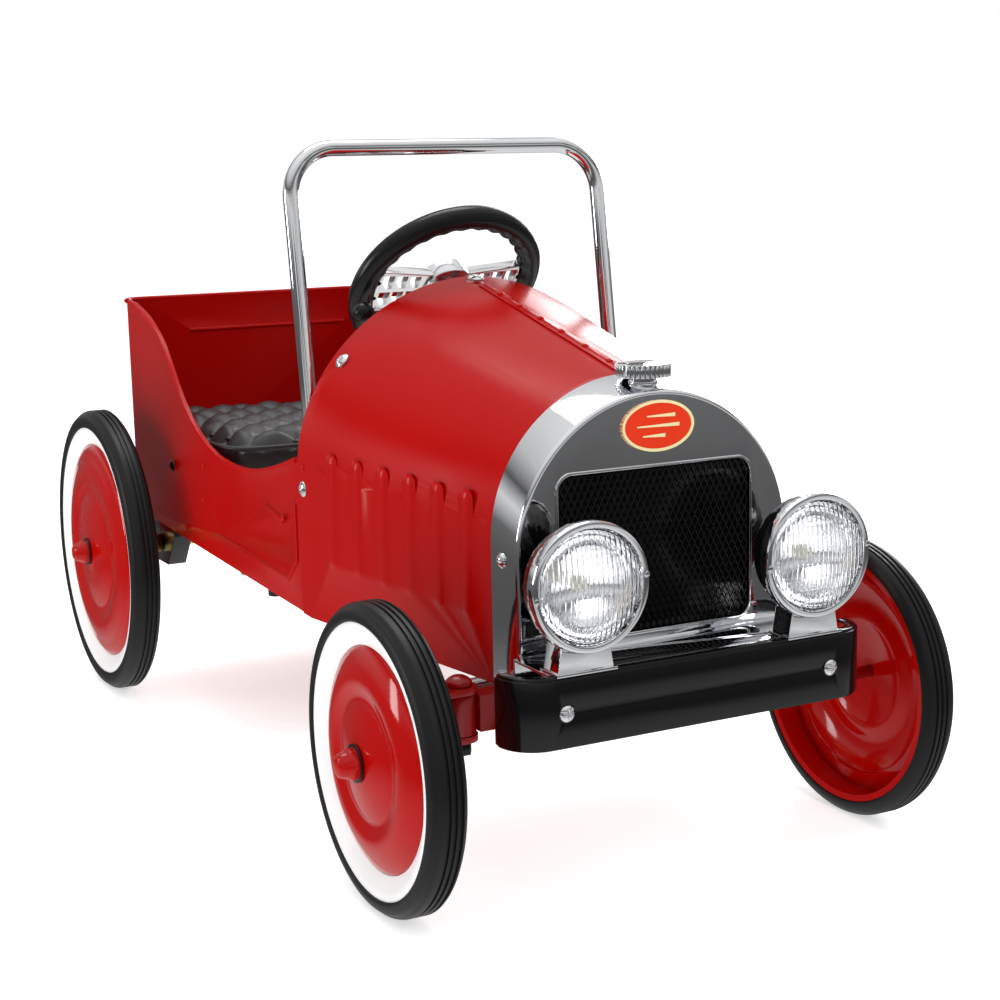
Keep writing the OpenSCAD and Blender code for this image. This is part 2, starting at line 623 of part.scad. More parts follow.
// ---------------------------------------------------------------- drive
py = 150;
pz = 235;
module pedal_rod() color("#c8b56a") F() translate([-(hhalf(py - 4) - sheet - 0.3), py, pz]) outx()
    cylinder(r = 4, h = 2 * (hhalf(py - 4) - sheet - 0.3));
module pedal_arm(s) side(s) difference() {
    union() {
        translate([45.3, py, pz]) outx() cylinder(r = 8.5, h = 16);
        translate([45.3, py - 8, pz - pedal_len]) cube([4, 16, pedal_len]);
        translate([45.3, py, pz - pedal_len]) outx() cylinder(r = 8, h = 4);
        // rod that carries the tread
        translate([49, py + 10, 172]) outx() cylinder(r = 4, h = 62);
        translate([45.3, py, 166]) cube([4, 14, 12]);
        // nut of the lower pivot
        translate([49.2, py, pz - pedal_len]) outx() cylinder(r = 7, h = 5, $fn = 6);
    }
    translate([40, py, pz]) outx() cylinder(r = 4.05, h = 40);
}
module pedal_arm_left() color("#202124") F() pedal_arm(1);
module pedal_arm_right() color("#202124") F() pedal_arm(-1);
module pedal_pad(s) side(s) difference() {
    union() {
        translate([51, py + 3, 150]) cube([58, 14, 44]);
        for (i = [0 : 4]) translate([51, py + 16.5, 153 + 8.6 * i]) cube([58, 2.4, 3.6]);
    }
    translate([40, py + 10, 172]) outx() cylinder(r = 4, h = 90);
}
module pedal_pad_left() color("#161616") F() pedal_pad(1);
module pedal_pad_right() color("#161616") F() pedal_pad(-1);
module con_rod(s) side(s) {
    dy = wheelbase - py;
    a = atan(s * crank_r / dy);
    L = sqrt(dy * dy + crank_r * crank_r);
    translate([41.3, py, pz - pedal_len]) rotate([a, 0, 0]) {
        difference() {
            union() {
                outx() cylinder(r = 9, h = 3);
                translate([0, 0, -7.5]) cube([3, L, 15]);
                translate([0, L, 0]) outx() cylinder(r = 11, h = 3);
            }
            translate([-5, L, 0]) outx() cylinder(r = 5.05, h = 20);
        }
        // bolt of the front pivot
        translate([-3, 0, 0]) outx() cylinder(r = 6.5, h = 3, $fn = 6);
    }
}
module con_rod_left() color("#c8b56a") F() con_rod(1);
module con_rod_right() color("#c8b56a") F() con_rod(-1);
module throw(s) side(s) translate([0, wheelbase, rear_r]) {
    for (x = [33, 47.4]) translate([x, 0, 0]) {
        outx() cylinder(r = 8, h = 5);
        translate([0, 0, s * crank_r]) outx() cylinder(r = 8, h = 5);
        translate([0, -8, s > 0 ? 0 : -crank_r]) cube([5, 16, crank_r]);
    }
    translate([33, 0, s * crank_r]) outx() cylinder(r = 5, h = 19);
    translate([52, 0, 0]) outx() cylinder(r = 4, h = track_half + 9.6 - 52);
    outx() cylinder(r = 4, h = 34);
    // collars beside the hangers
    translate([104.5, 0, 0]) outx() cylinder(r = 8, h = 5);
    translate([126.6, 0, 0]) outx() cylinder(r = 8, h = 22.8);
}
module crank_axle() color("#c8b56a") F() { throw(1); throw(-1); }
module hanger(s) side(s) difference() {
    yz([[wheelbase - 42, 193.9], [wheelbase + 36, 193.9], [wheelbase + 36, 146],
        [wheelbase + 20, 104], [wheelbase - 20, 104], [wheelbase - 42, 132]], 110, 126);
    translate([100, wheelbase, rear_r]) outx() cylinder(r = 4.05, h = 40);
}
module rear_hanger_left() color("#151515") F() hanger(1);
module rear_hanger_right() color("#151515") F() hanger(-1);

// ---------------------------------------------------------------- wheels
// u runs outwards along the axle, u = 0 at the outer face of the white ring
function ring_o(R) = R - 11.5 - (R > 105 ? 3 : 0);
// radius where the pressed disc meets the white ring
function disc_r(R) = ring_o(R) - 14.3;
// section of the disc's outer face: a raised belt, a crease and a domed centre
function disc_pts(R) = let (d = disc_r(R), k = d / 68.2) [[d, -4.8], [d - 1.7, -3.4],
    [d - 4.7, -1.7], [60 * k, -0.1], [56 * k, 1.4], [52 * k, 2.4], [48.5 * k, 2.7],
    [45 * k, 2.3], [41.5 * k, 1.4], [38.5 * k, 0.8], [36.5 * k, 0.9], [34.5 * k, 1.6],
    [30 * k, 2.9], [24 * k, 4.3], [18, 5.6], [12, 6.6], [9, 7]];
module at_wheel(s, y, R) side(s) translate([track_half, y, R]) outx() children();
module wheel_disc(R) {
    ro = ring_o(R);
    p = disc_pts(R);
    t = 1.4;
    n = len(p);
    back = [for (i = [1 : n - 2]) let (d = p[i + 1] - p[i - 1]) p[i] + t / norm(d) * [-d[1], d[0]]];
    d = disc_r(R);
    difference() {
        union() {
            rotate_extrude() polygon(concat([[ro - 1.6, -1.9], [ro - 4.2, -1.95],
                [d + 0.1, -6.65]], p, [[6, 7], [6, 5.4]], [for (i = [n - 3 : -1 : 0]) back[i]],
                [[d - 1.4, -8], [d + 0.3, -8.1], [ro - 4.6, -3.35], [ro - 3, -3.3],
                [ro - 3, -21], [ro + 2, -21], [ro + 2, -19.6], [ro - 1.6, -19.6]]));
            translate([0, 0, -33]) cylinder(r = 9, h = 40);
        }
        translate([0, 0, -60]) cylinder(r = 4.05, h = 100);
    }
}
module white_ring(R) rotate_extrude() polygon([[disc_r(R) + 0.2, -4.7], [disc_r(R) + 0.2, -6.4],
    [ring_o(R) - 4.2, -1.75], [ring_o(R) - 1.6, -1.7], [ring_o(R) + 0.2, -1.2],
    [ring_o(R) + 0.2, 0.2], [ring_o(R) - 2, 0.6], [ring_o(R) - 5, 0.1]]);
module tyre(R) {
    ro = ring_o(R);
    lip = R > 105 ? 112 : 87.2;
    rotate_extrude() polygon([[ro + 0.3, -1.4], [ro + 0.3, 1.2], [ro + 1.4, 1.8], [lip, 1.5],
        [lip + 2.4, 0.4], [R - 2.6, -1.6], [R - 0.8, -3.6], [R, -6], [R, -7.2], [R - 1.4, -7.6],
        [R - 1.4, -8.8], [R, -9.2], [R, -11], [R - 1.4, -11.4], [R - 1.4, -12.6], [R, -13],
        [R, -14.8], [R - 1.4, -15.2], [R - 1.4, -16.4], [R, -16.8], [R - 1.2, -18.6],
        [R - 3.4, 0.4 - tyre_w + 1.4], [ro + 4, 0.4 - tyre_w], [ro + 2.3, 0.6 - tyre_w],
        [ro + 2.3, -19.3], [ro - 1.3, -19.3], [ro - 1.3, -2.3]]);
}
module cap_washer() {
    difference() {
        translate([0, 0, 7.2]) cylinder(r = 11.6, h = 1.2);
        cylinder(r = 4, h = 20);
    }
    difference() {
        rotate_extrude() polygon([[0, 8.4], [9.7, 8.4], [9.7, 9.2], [9.4, 12.2], [8.7, 13.4],
            [8.1, 14.4], [7.3, 17.2], [6.7, 18.6], [5.2, 19.6], [2.8, 20], [0, 20]]);
        cylinder(r = 4, h = 9.6);
    }
}
module wheel_front_left_disc() color("#c41208") F() at_wheel(1, 0, front_r) wheel_disc(front_r);
module wheel_front_right_disc() color("#c41208") F() at_wheel(-1, 0, front_r) wheel_disc(front_r);
module wheel_rear_left_disc() color("#c41208") F() at_wheel(1, wheelbase, rear_r) wheel_disc(rear_r);
module wheel_rear_right_disc() color("#c41208") F() at_wheel(-1, wheelbase, rear_r) wheel_disc(rear_r);
module wheel_front_left_ring() color("white") F() at_wheel(1, 0, front_r) white_ring(front_r);
module wheel_front_right_ring() color("white") F() at_wheel(-1, 0, front_r) white_ring(front_r);
module wheel_rear_left_ring() color("white") F() at_wheel(1, wheelbase, rear_r) white_ring(rear_r);
module wheel_rear_right_ring() color("white") F() at_wheel(-1, wheelbase, rear_r) white_ring(rear_r);
module wheel_front_left_tyre() color("#111111") F() at_wheel(1, 0, front_r) tyre(front_r);
module wheel_front_right_tyre() color("#111111") F() at_wheel(-1, 0, front_r) tyre(front_r);
module wheel_rear_left_tyre() color("#111111") F() at_wheel(1, wheelbase, rear_r) tyre(rear_r);
module wheel_rear_right_tyre() color("#111111") F() at_wheel(-1, wheelbase, rear_r) tyre(rear_r);
module hub_cap_front_left() color("#a81010") F() at_wheel(1, 0, front_r) cap_washer();
module hub_cap_front_right() color("#a81010") F() at_wheel(-1, 0, front_r) cap_washer();
module hub_cap_rear_left() color("#a81010") F() at_wheel(1, wheelbase, rear_r) cap_washer();
module hub_cap_rear_right() color("#a81010") F() at_wheel(-1, wheelbase, rear_r) cap_washer();

body_tub();
hood_left();
hood_right();
hood_seam_strip();
rivets();
screws();
black_bolts();
radiator_shell();
grille_mesh();
badge();
radiator_cap();
headlamp_shell_left();
headlamp_shell_right();
headlamp_rim_left();
headlamp_rim_right();
headlamp_lens_left();
headlamp_lens_right();
headlamp_bracket_left();
headlamp_bracket_right();
bumper();
bumper_shelf();
windscreen_frame();
seat_pan();
seat_cushion();
dash_brace();
front_axle();
kingpins();
knuckle_left();
knuckle_right();
tie_rod();
steering_column();
steering_rim();
steering_spokes();
column_lever();
pedal_rod();
pedal_arm_left();
pedal_arm_right();
pedal_pad_left();
pedal_pad_right();
con_rod_left();
con_rod_right();
crank_axle();
rear_hanger_left();
rear_hanger_right();
wheel_front_left_disc();
wheel_front_right_disc();
wheel_rear_left_disc();
wheel_rear_right_disc();
wheel_front_left_ring();
wheel_front_right_ring();
wheel_rear_left_ring();
wheel_rear_right_ring();
wheel_front_left_tyre();
wheel_front_right_tyre();
wheel_rear_left_tyre();
wheel_rear_right_tyre();
hub_cap_front_left();
hub_cap_front_right();
hub_cap_rear_left();
hub_cap_rear_right();
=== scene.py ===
# %% [markdown]
# # A pressed steel pedal car
# A child's pedal car is thin red sheet, chrome trim, black plastic and solid rubber. The
# engineering model already fixes every size and every pivot, so this lesson only dresses it.
# Shapes that are right get soft edges and a finish, and shapes that a drawing can't give,
# such as the tufted cushion or the pressed lamp glass, are modelled here.

# %% [markdown]
# ## The frame
# The engineering model comes in as fixed nodes, one for each part. They could be edited in
# place, but their sizes are the measured truth, so they stay as they are and the finished
# pieces are built beside them.

# %% Load the fixed frame
import json
import math

import bpy
from mathutils import Matrix, Vector

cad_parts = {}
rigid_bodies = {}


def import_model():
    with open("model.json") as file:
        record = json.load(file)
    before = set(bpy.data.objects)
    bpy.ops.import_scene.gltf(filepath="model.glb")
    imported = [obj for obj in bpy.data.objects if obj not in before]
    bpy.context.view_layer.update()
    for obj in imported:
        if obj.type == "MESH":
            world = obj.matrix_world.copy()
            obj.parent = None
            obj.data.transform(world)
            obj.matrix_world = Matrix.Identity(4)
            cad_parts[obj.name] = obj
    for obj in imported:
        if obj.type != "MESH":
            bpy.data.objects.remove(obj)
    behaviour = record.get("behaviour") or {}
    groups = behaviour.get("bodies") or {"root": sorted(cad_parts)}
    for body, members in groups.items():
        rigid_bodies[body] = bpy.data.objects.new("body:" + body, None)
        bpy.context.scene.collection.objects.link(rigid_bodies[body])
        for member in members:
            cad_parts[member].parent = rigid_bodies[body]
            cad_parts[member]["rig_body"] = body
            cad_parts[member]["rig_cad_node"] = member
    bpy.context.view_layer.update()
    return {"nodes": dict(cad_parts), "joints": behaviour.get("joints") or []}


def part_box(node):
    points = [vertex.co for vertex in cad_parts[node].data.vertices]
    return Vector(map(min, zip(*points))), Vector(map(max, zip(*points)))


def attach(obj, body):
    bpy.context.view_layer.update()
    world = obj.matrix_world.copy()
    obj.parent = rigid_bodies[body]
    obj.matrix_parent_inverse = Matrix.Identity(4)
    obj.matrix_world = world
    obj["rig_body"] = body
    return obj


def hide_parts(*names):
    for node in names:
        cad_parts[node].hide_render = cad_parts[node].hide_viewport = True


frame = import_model()
NODES = frame["nodes"]
BODY_OF = {name: node["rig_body"] for name, node in NODES.items()}
MM = 0.001

# %% [markdown]
# ## Where the picture is taken from
# The camera stands low at the car's right front corner, with a long lens, so that the lines
# stay nearly parallel. It could be aimed by a constraint. Here its three directions are worked
# out from an azimuth, an elevation and a roll, because they then make its matrix directly.

# %% Camera
AZIMUTH = math.radians(-27.49)
ELEVATION = math.radians(10.16)
ROLL = math.radians(-1.24)
EYE = Vector((-0.58862, -1.25951, 0.43359))
FOCAL_LENGTH = 66.13
SENSOR_WIDTH = 36.0


def add_camera():
    back = Vector((
        math.sin(AZIMUTH) * math.cos(ELEVATION),
        -math.cos(AZIMUTH) * math.cos(ELEVATION),
        math.sin(ELEVATION),
    ))
    right = (-back).cross(Vector((0, 0, 1))).normalized()
    up = back.cross(right)
    level_right = right * math.cos(ROLL) + up * math.sin(ROLL)
    level_up = up * math.cos(ROLL) - right * math.sin(ROLL)
    lens = bpy.data.cameras.new("camera")
    lens.lens = FOCAL_LENGTH
    lens.sensor_width = SENSOR_WIDTH
    camera = bpy.data.objects.new("camera", lens)
    bpy.context.scene.collection.objects.link(camera)
    turn = Matrix((level_right, level_up, back)).transposed()
    camera.matrix_world = Matrix.Translation(EYE) @ turn.to_4x4()
    bpy.context.scene.camera = camera
    return camera


camera = add_camera()
print("camera at", [round(v, 3) for v in camera.location])

# %% [markdown]
# ## Small tools for working by hand
# Every operator acts on what is selected, so each tool first clears the selection and then
# picks one piece. Faces could be picked by number, but numbers change with each edit, so they
# are picked by a test on their place or direction.

# %% Selection, editing and applying
WELD = 0.00001


def focus(piece):
    bpy.ops.object.select_all(action="DESELECT")
    piece.select_set(True)
    bpy.context.view_layer.objects.active = piece


class editing:
    """Opens a piece in edit mode, with the faces, edges or points that pass a test selected."""

    def __init__(self, piece, mode="FACE", test=None):
        self.piece, self.mode, self.test = piece, mode, test

    def __enter__(self):
        focus(self.piece)
        mesh = self.piece.data
        bpy.ops.object.mode_set(mode="EDIT")
        bpy.ops.mesh.select_mode(type=self.mode)
        bpy.ops.mesh.select_all(action="DESELECT" if self.test else "SELECT")
        if self.test:
            bpy.ops.object.mode_set(mode="OBJECT")
            for item in {"FACE": mesh.polygons, "EDGE": mesh.edges, "VERT": mesh.vertices}[self.mode]:
                item.select = bool(self.test(item))
            bpy.ops.object.mode_set(mode="EDIT")
        return self.piece

    def __exit__(self, *problem):
        bpy.ops.object.mode_set(mode="OBJECT")


def named(name):
    """The primitive that was just added, under its own name, with its place in its mesh."""
    piece = bpy.context.object
    piece.name = name
    piece.data.name = name
    bpy.ops.object.transform_apply(location=True, rotation=True, scale=True)
    return piece


def apply_modifier(piece, kind, **settings):
    focus(piece)
    modifier = piece.modifiers.new(kind.lower(), kind)
    for key, value in settings.items():
        setattr(modifier, key, value)
    bpy.ops.object.modifier_apply(modifier=modifier.name)


def smooth(piece, degrees=32):
    focus(piece)
    bpy.ops.object.shade_smooth_by_angle(angle=math.radians(degrees))


def shape(piece, rule):
    """Moves every point of a piece to where a rule sends it."""
    for point in piece.data.vertices:
        point.co = rule(point.co)


def copy_of(piece, name, offset=(0, 0, 0)):
    twin = piece.copy()
    twin.data = piece.data.copy()
    twin.name = twin.data.name = name
    bpy.context.scene.collection.objects.link(twin)
    twin.data.transform(Matrix.Translation(Vector(offset)))
    return twin


def joined(pieces, name):
    focus(pieces[0])
    for piece in pieces[1:]:
        piece.select_set(True)
    bpy.ops.object.join()
    whole = bpy.context.object
    whole.name = whole.data.name = name
    return whole


def finish_piece(piece, material, body, replaces=()):
    piece.data.materials.clear()
    piece.data.materials.append(material)
    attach(piece, body)
    if replaces:
        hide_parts(*replaces)
    print(piece.name, "faces:", len(piece.data.polygons), "on", body)


print("welding distance in mm:", WELD / MM)

# %% [markdown]
# ## Writing shaders as sums
# A finish could be wired node by node, but it is easier to read as a formula. One small class
# wraps an output of a node, and its operators add the Math nodes. A second class holds a
# material with its one shader: what is the same all over is set on a socket, and only what
# varies is fed by nodes, all of which read object coordinates so that grain has a real size.


# %% Shader values and finishes
class Value:
    def __init__(self, tree, socket):
        self.tree, self.socket = tree, socket

    def math(self, operation, other):
        node = self.tree.nodes.new("ShaderNodeMath")
        node.operation = operation
        for place, item in enumerate((self, other)):
            if isinstance(item, Value):
                self.tree.links.new(item.socket, node.inputs[place])
            else:
                node.inputs[place].default_value = item
        return Value(self.tree, node.outputs[0])

    def __add__(self, other):
        return self.math("ADD", other)

    def __mul__(self, other):
        return self.math("MULTIPLY", other)

    __radd__ = __add__
    __rmul__ = __mul__


class Finish:
    """A material with one Principled shader. Its constants are set once, on its sockets."""

    def __init__(self, name, color, **constants):
        self.material = bpy.data.materials.new(name)
        self.material.use_nodes = True
        self.tree = self.material.node_tree
        self.shader = self.tree.nodes["Principled BSDF"]
        self.color = (*color, 1.0)
        self.shader.inputs["Base Color"].default_value = self.color
        for key, value in constants.items():
            self.shader.inputs[key.replace("_", " ")].default_value = value
        self.place = self.tree.nodes.new("ShaderNodeTexCoord").outputs["Object"]

    def node(self, kind, settings=None, inputs=None, output=0):
        made = self.tree.nodes.new(kind)
        for key, value in (settings or {}).items():
            setattr(made, key, value)
        for key, value in (inputs or {}).items():
            if isinstance(value, Value):
                self.tree.links.new(value.socket, made.inputs[key])
            elif isinstance(value, bpy.types.NodeSocket):
                self.tree.links.new(value, made.inputs[key])
            else:
                made.inputs[key].default_value = value
        return Value(self.tree, made.outputs[output])

    def noise(self, scale, detail=3.0, stretch=(1, 1, 1)):
        place = self.node("ShaderNodeMapping", None, {"Vector": self.place, "Scale": stretch})
        return self.node("ShaderNodeTexNoise", None,
                         {"Vector": place, "Scale": scale, "Detail": detail})

    def mix(self, factor, low, high):
        """Blends two colours by a factor, on a Mix node."""
        return self.node("ShaderNodeMix", {"data_type": "RGBA"},
                         {0: factor, 6: low, 7: high}, output=2)

    def feed(self, socket, value):
        self.tree.links.new(value.socket, self.shader.inputs[socket])

    def bump(self, height, depth):
        self.feed("Normal", self.node("ShaderNodeBump", None, {"Height": height, "Distance": depth}))


def shade(color, by):
    return (*(c * by for c in color), 1.0)


print("nodes may feed Base Color, Roughness and Normal")

# %% [markdown]
# ## Enamels
# Enamel on sheet steel isn't flat: it has an orange-peel skin of about a millimetre, the sheet
# under it is very slightly wavy, and handling leaves dull patches. A picture of paint could
# give this, but noise in three sizes costs nothing and never repeats.


# %% Enamels
def enamel(name, color, rough, coat, wave=0.0002, gloss=0.5):
    finish = Finish(name, color, Coat_Roughness=0.05, Coat_Weight=coat, Specular_IOR_Level=gloss)
    patch = finish.noise(9.0)
    finish.feed("Base Color", finish.mix(patch, shade(color, 0.9), shade(color, 1.08)))
    finish.feed("Roughness", finish.noise(22.0, 4.0) * 0.12 + (rough - 0.06))
    peel = finish.noise(900.0, 2.0) * 0.04
    finish.bump(finish.noise(14.0, 1.0) + peel, wave)
    return finish.material


RED = (0.43, 0.0018, 0.0006)
body_red = enamel("body_red_enamel", RED, 0.22, 0.0, 0.00012, 0.14)
wheel_red = enamel("wheel_red_enamel", (0.42, 0.0018, 0.0006), 0.10, 0.15, 0.00002, 0.25)
axle_red = enamel("axle_red_enamel", (0.26, 0.003, 0.002), 0.30, 0.1, 0.0001, 0.35)
black_enamel = enamel("black_enamel", (0.003, 0.003, 0.0035), 0.14, 0.05, 0.00003, 0.4)
print("enamels:", [m.name for m in (body_red, wheel_red, axle_red, black_enamel)])

# %% [markdown]
# ## Metals
# Chrome is nearly a mirror, silver plating is softer, bare steel is brushed along its length
# and zinc is passivated yellow. All are one metal shader with its own colour and roughness. A
# noise stretched along the part draws the brushing, which needs no separate pattern.


# %% Plated and bare metals
def metal(name, color, rough, spread, grain=(1, 1, 1), depth=0.00002):
    finish = Finish(name, color, Metallic=1.0)
    smear = finish.noise(30.0, 4.0, grain)
    finish.feed("Base Color", finish.mix(smear, shade(color, 0.94), shade(color, 1.04)))
    finish.feed("Roughness", smear * spread + rough)
    finish.bump(finish.noise(300.0, 2.0, grain), depth)
    return finish.material


chrome = metal("bright_chrome", (0.80, 0.81, 0.83), 0.02, 0.05)
silver = metal("silver_plating", (0.80, 0.80, 0.82), 0.12, 0.08)
steel = metal("bright_steel", (0.55, 0.55, 0.57), 0.22, 0.12, (1, 12, 12), 0.00006)
zinc = metal("yellow_zinc", (0.72, 0.62, 0.22), 0.24, 0.14, (1, 6, 6), 0.00005)
print("metals:", [m.name for m in (chrome, silver, steel, zinc)])

# %% [markdown]
# ## Plastics and rubbers
# Moulded parts take the grain of their mould: fine on the rings, coarser on tyres and pedals.
# Rubber is duller than plastic. One function serves them all, because only the colour, the
# roughness and the size of the grain differ.


# %% Plastics and rubbers
def moulded(name, color, rough, spread, grain, depth):
    finish = Finish(name, color, Specular_IOR_Level=0.3)
    patch = finish.noise(16.0, 4.0)
    finish.feed("Base Color", finish.mix(patch, shade(color, 0.92), shade(color, 1.08)))
    finish.feed("Roughness", patch * spread + rough)
    finish.bump(finish.noise(grain, 2.0), depth)
    return finish.material


black_plastic = moulded("black_plastic", (0.005, 0.005, 0.0055), 0.20, 0.12, 700.0, 0.00006)
white_plastic = moulded("white_ring_plastic", (0.92, 0.92, 0.92), 0.30, 0.10, 300.0, 0.00002)
tyre_rubber = moulded("tyre_rubber", (0.006, 0.006, 0.0065), 0.36, 0.14, 900.0, 0.00005)
pad_rubber = moulded("pedal_rubber", (0.014, 0.014, 0.015), 0.52, 0.16, 1100.0, 0.0001)
print("mouldings:", [m.name for m in (black_plastic, white_plastic, tyre_rubber, pad_rubber)])

# %% [markdown]
# ## Dressing the engineering model
# The frame's parts are right in shape, but their edges are knife sharp and each triangle
# stands alone. A copy is welded, its flat faces are joined, its corners get a narrow bevel
# and its curves are smoothed. Parts with rounded sections need no bevel. The copy then stands
# for the part. The bevel is what makes pressed and plated parts catch light along their edges.


# %% The dressing tool
FLAT = math.radians(0.15)  # triangles that lean less than this become one face
CORNER = math.radians(38)  # edges sharper than this get a bevel


def dressed(node, material, bevel, name=None, keep=None, angle=32):
    source = NODES[node]
    piece = source.copy()
    piece.data = source.data.copy()
    piece.name = piece.data.name = name or node + "_finished"
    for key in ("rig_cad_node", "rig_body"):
        if key in piece:
            del piece[key]
    bpy.context.scene.collection.objects.link(piece)
    piece.parent = None
    piece.hide_render = piece.hide_viewport = False
    with editing(piece, "VERT"):
        bpy.ops.mesh.remove_doubles(threshold=WELD)
    if keep:
        with editing(piece, "FACE", lambda face: not keep(face.center / MM)):
            bpy.ops.mesh.delete(type="FACE")
    if bevel:
        with editing(piece, "FACE"):
            bpy.ops.mesh.dissolve_limited(angle_limit=FLAT)
        apply_modifier(piece, "BEVEL", width=bevel * MM, segments=2, limit_method="ANGLE",
                       angle_limit=CORNER)
    smooth(piece, angle)
    finish_piece(piece, material, BODY_OF[node], replaces=[node])


print("bevels start at an edge of", round(math.degrees(CORNER)), "degrees")

# %% [markdown]
# ## Body sheet
# The tub, the hood halves and the seat pan are one kind of work: steel sheet about a
# millimetre thick, pressed, spot welded and sprayed. They could be modelled again, but their
# presswork is already right, so they are only dressed. The hood curves in two directions and
# is smoothed at a smaller angle, which keeps its louvres crisp.

# %% Tub, hood, pan and brace
for part in ("body_tub", "seat_pan", "dash_brace", "hood_seam_strip"):
    dressed(part, body_red, 0.3)
for part in ("hood_left", "hood_right"):
    dressed(part, body_red, 0.35, angle=17)
dressed("rivets", body_red, 0, angle=60)
dressed("screws", chrome, 0, angle=50)
dressed("black_bolts", black_enamel, 0.3)

# %% [markdown]
# ## Running gear
# Under the sheet are a red axle beam with its knuckles, black hangers and pedal arms, yellow
# zinc rods and a cranked axle, and bare steel for the column. Each is dressed by kind. The
# kingpins are one part in the frame but two finishes, so the nuts are parted off by height.

# %% Running gear
KINGPIN_NUT_TOP = 97
dressed("kingpins", axle_red, 0.2, keep=lambda p: p.z > KINGPIN_NUT_TOP)
dressed("kingpins", black_enamel, 0.2, name="kingpin_nuts", keep=lambda p: p.z < KINGPIN_NUT_TOP)
for part in ("front_axle", "knuckle_left", "knuckle_right"):
    dressed(part, axle_red, 0.5)
for part in ("rear_hanger_left", "rear_hanger_right", "pedal_arm_left", "pedal_arm_right"):
    dressed(part, black_enamel, 0.5)
for part in ("crank_axle", "con_rod_left", "con_rod_right", "pedal_rod"):
    dressed(part, zinc, 0.4)
for part in ("tie_rod", "steering_column"):
    dressed(part, steel, 0.3)
for part in ("pedal_pad_left", "pedal_pad_right"):
    dressed(part, pad_rubber, 0.8)

# %% [markdown]
# ## Wheels
# Each wheel is a red steel disc, a white ring and a rubber tyre. A section could be spun round
# the axle, but a flat grid that is rolled round it gives an even mesh, closed all the way
# round, in one step. The disc is rolled as one skin and then thickened.


# %% Rolling a section round the axle
def flowing(points, cuts=3):
    """Adds points between the given ones along a smooth curve."""
    line = [Vector(p) for p in points]
    ends = [line[0] * 2 - line[1], *line, line[-1] * 2 - line[-2]]
    made = []
    for a, b, c, d in zip(ends, ends[1:], ends[2:], ends[3:]):
        for cut in range(cuts):
            t = cut / cuts
            made.append(0.5 * (2 * b + (c - a) * t + (2 * a - 5 * b + 4 * c - d) * t * t
                               + (3 * b - a - 3 * c + d) * t ** 3))
    return [*made, line[-1]]


def rolled(name, section, steps=144, thickness=0.0):
    rows = len(section) - 1
    bpy.ops.mesh.primitive_grid_add(x_subdivisions=steps, y_subdivisions=rows, size=2)
    piece = named(name)

    def roll(p):
        radius, depth = section[round((p.y + 1) / 2 * rows)]
        turn = (p.x + 1) * math.pi
        return Vector((radius * math.cos(turn), radius * math.sin(turn), depth)) * MM

    shape(piece, roll)
    with editing(piece):
        bpy.ops.mesh.remove_doubles(threshold=WELD)
        if thickness:
            bpy.ops.mesh.flip_normals()
    if thickness:
        lean = sum(face.normal.z * face.area for face in piece.data.polygons)
        inwards = -1 if lean > 0 else 1
        apply_modifier(piece, "SOLIDIFY", thickness=thickness * MM, offset=inwards)
    with editing(piece):
        bpy.ops.mesh.normals_make_consistent(inside=False)
    smooth(piece, 42)
    return piece


print("a curve of 4 points becomes one of", len(flowing([(0, 0), (1, 1), (2, 0), (3, 1)])))

# %% [markdown]
# ## Wheel sections
# A section is a list of radius and depth along the axle, in millimetres, with depth counted
# outwards from the ring's edge. The disc has a raised hub, a groove and a swell, and the tyre
# has three grooves in its tread. The same section serves the small front and large rear
# wheels, because its radii follow the wheel's own edge and rim.

# %% Wheel sections
PATTERN_EDGE = 68.2  # the disc radius for which the pressed pattern is drawn


def disc_section(edge, rim):
    k = edge / PATTERN_EDGE
    face = [(9, 7), (12, 6.6), (18, 5.6), (24 * k, 4.3), (30 * k, 2.9), (34.5 * k, 1.6),
            (36.5 * k, 0.9), (38.5 * k, 0.8), (41.5 * k, 1.4), (45 * k, 2.3), (48.5 * k, 2.7),
            (52 * k, 2.4), (56 * k, 1.4), (60 * k, -0.1), (edge - 4.7, -1.7), (edge - 1.7, -3.4),
            (edge, -4.8)]
    return [(4.2, 7), *flowing(face), (edge + 0.1, -6.65), (rim - 4.2, -1.95), (rim - 1.6, -1.9),
            (rim - 1.6, -19.4), (rim + 1.8, -19.5)]


def ring_section(edge, rim):
    return [(edge + 0.2, -4.7), (edge + 0.2, -6.4), (rim - 4.2, -1.75), (rim - 1.6, -1.7),
            (rim + 0.2, -1.2), (rim + 0.2, 0.2), (rim - 0.6, 0.5), (rim - 2, 0.6),
            (rim - 3.6, 0.45), (rim - 5, 0.1), (edge + 3, -3.6), (edge + 0.2, -4.7)]


def tyre_section(outer, rim, width):
    lip = outer - 6.8
    wall = flowing([(rim + 1.4, 1.7), (lip - 1, 1.6), (lip + 2.4, 0.5), (outer - 2.6, -1.6),
                    (outer - 0.8, -3.6), (outer - 0.1, -6)], 4)
    tread = []
    for groove in (8.2, 12, 15.8):
        tread += [(outer, -groove + 1.3), (outer - 0.3, -groove + 0.9), (outer - 1.5, -groove + 0.6),
                  (outer - 1.5, -groove - 0.6), (outer - 0.3, -groove - 0.9)]
    return [(rim + 0.3, -1.4), (rim + 0.3, 1.2), *wall, *tread, (outer, -17.2), (outer - 1.2, -18.8),
            (outer - 3.4, 1.6 - width), (rim + 4, 0.4 - width), (rim + 2.3, 0.6 - width),
            (rim + 2.3, -19.3), (rim - 1.3, -19.3), (rim - 1.3, -2.3), (rim + 0.3, -1.4)]


print("points in a disc's section:", len(disc_section(PATTERN_EDGE, PATTERN_EDGE + 14)))

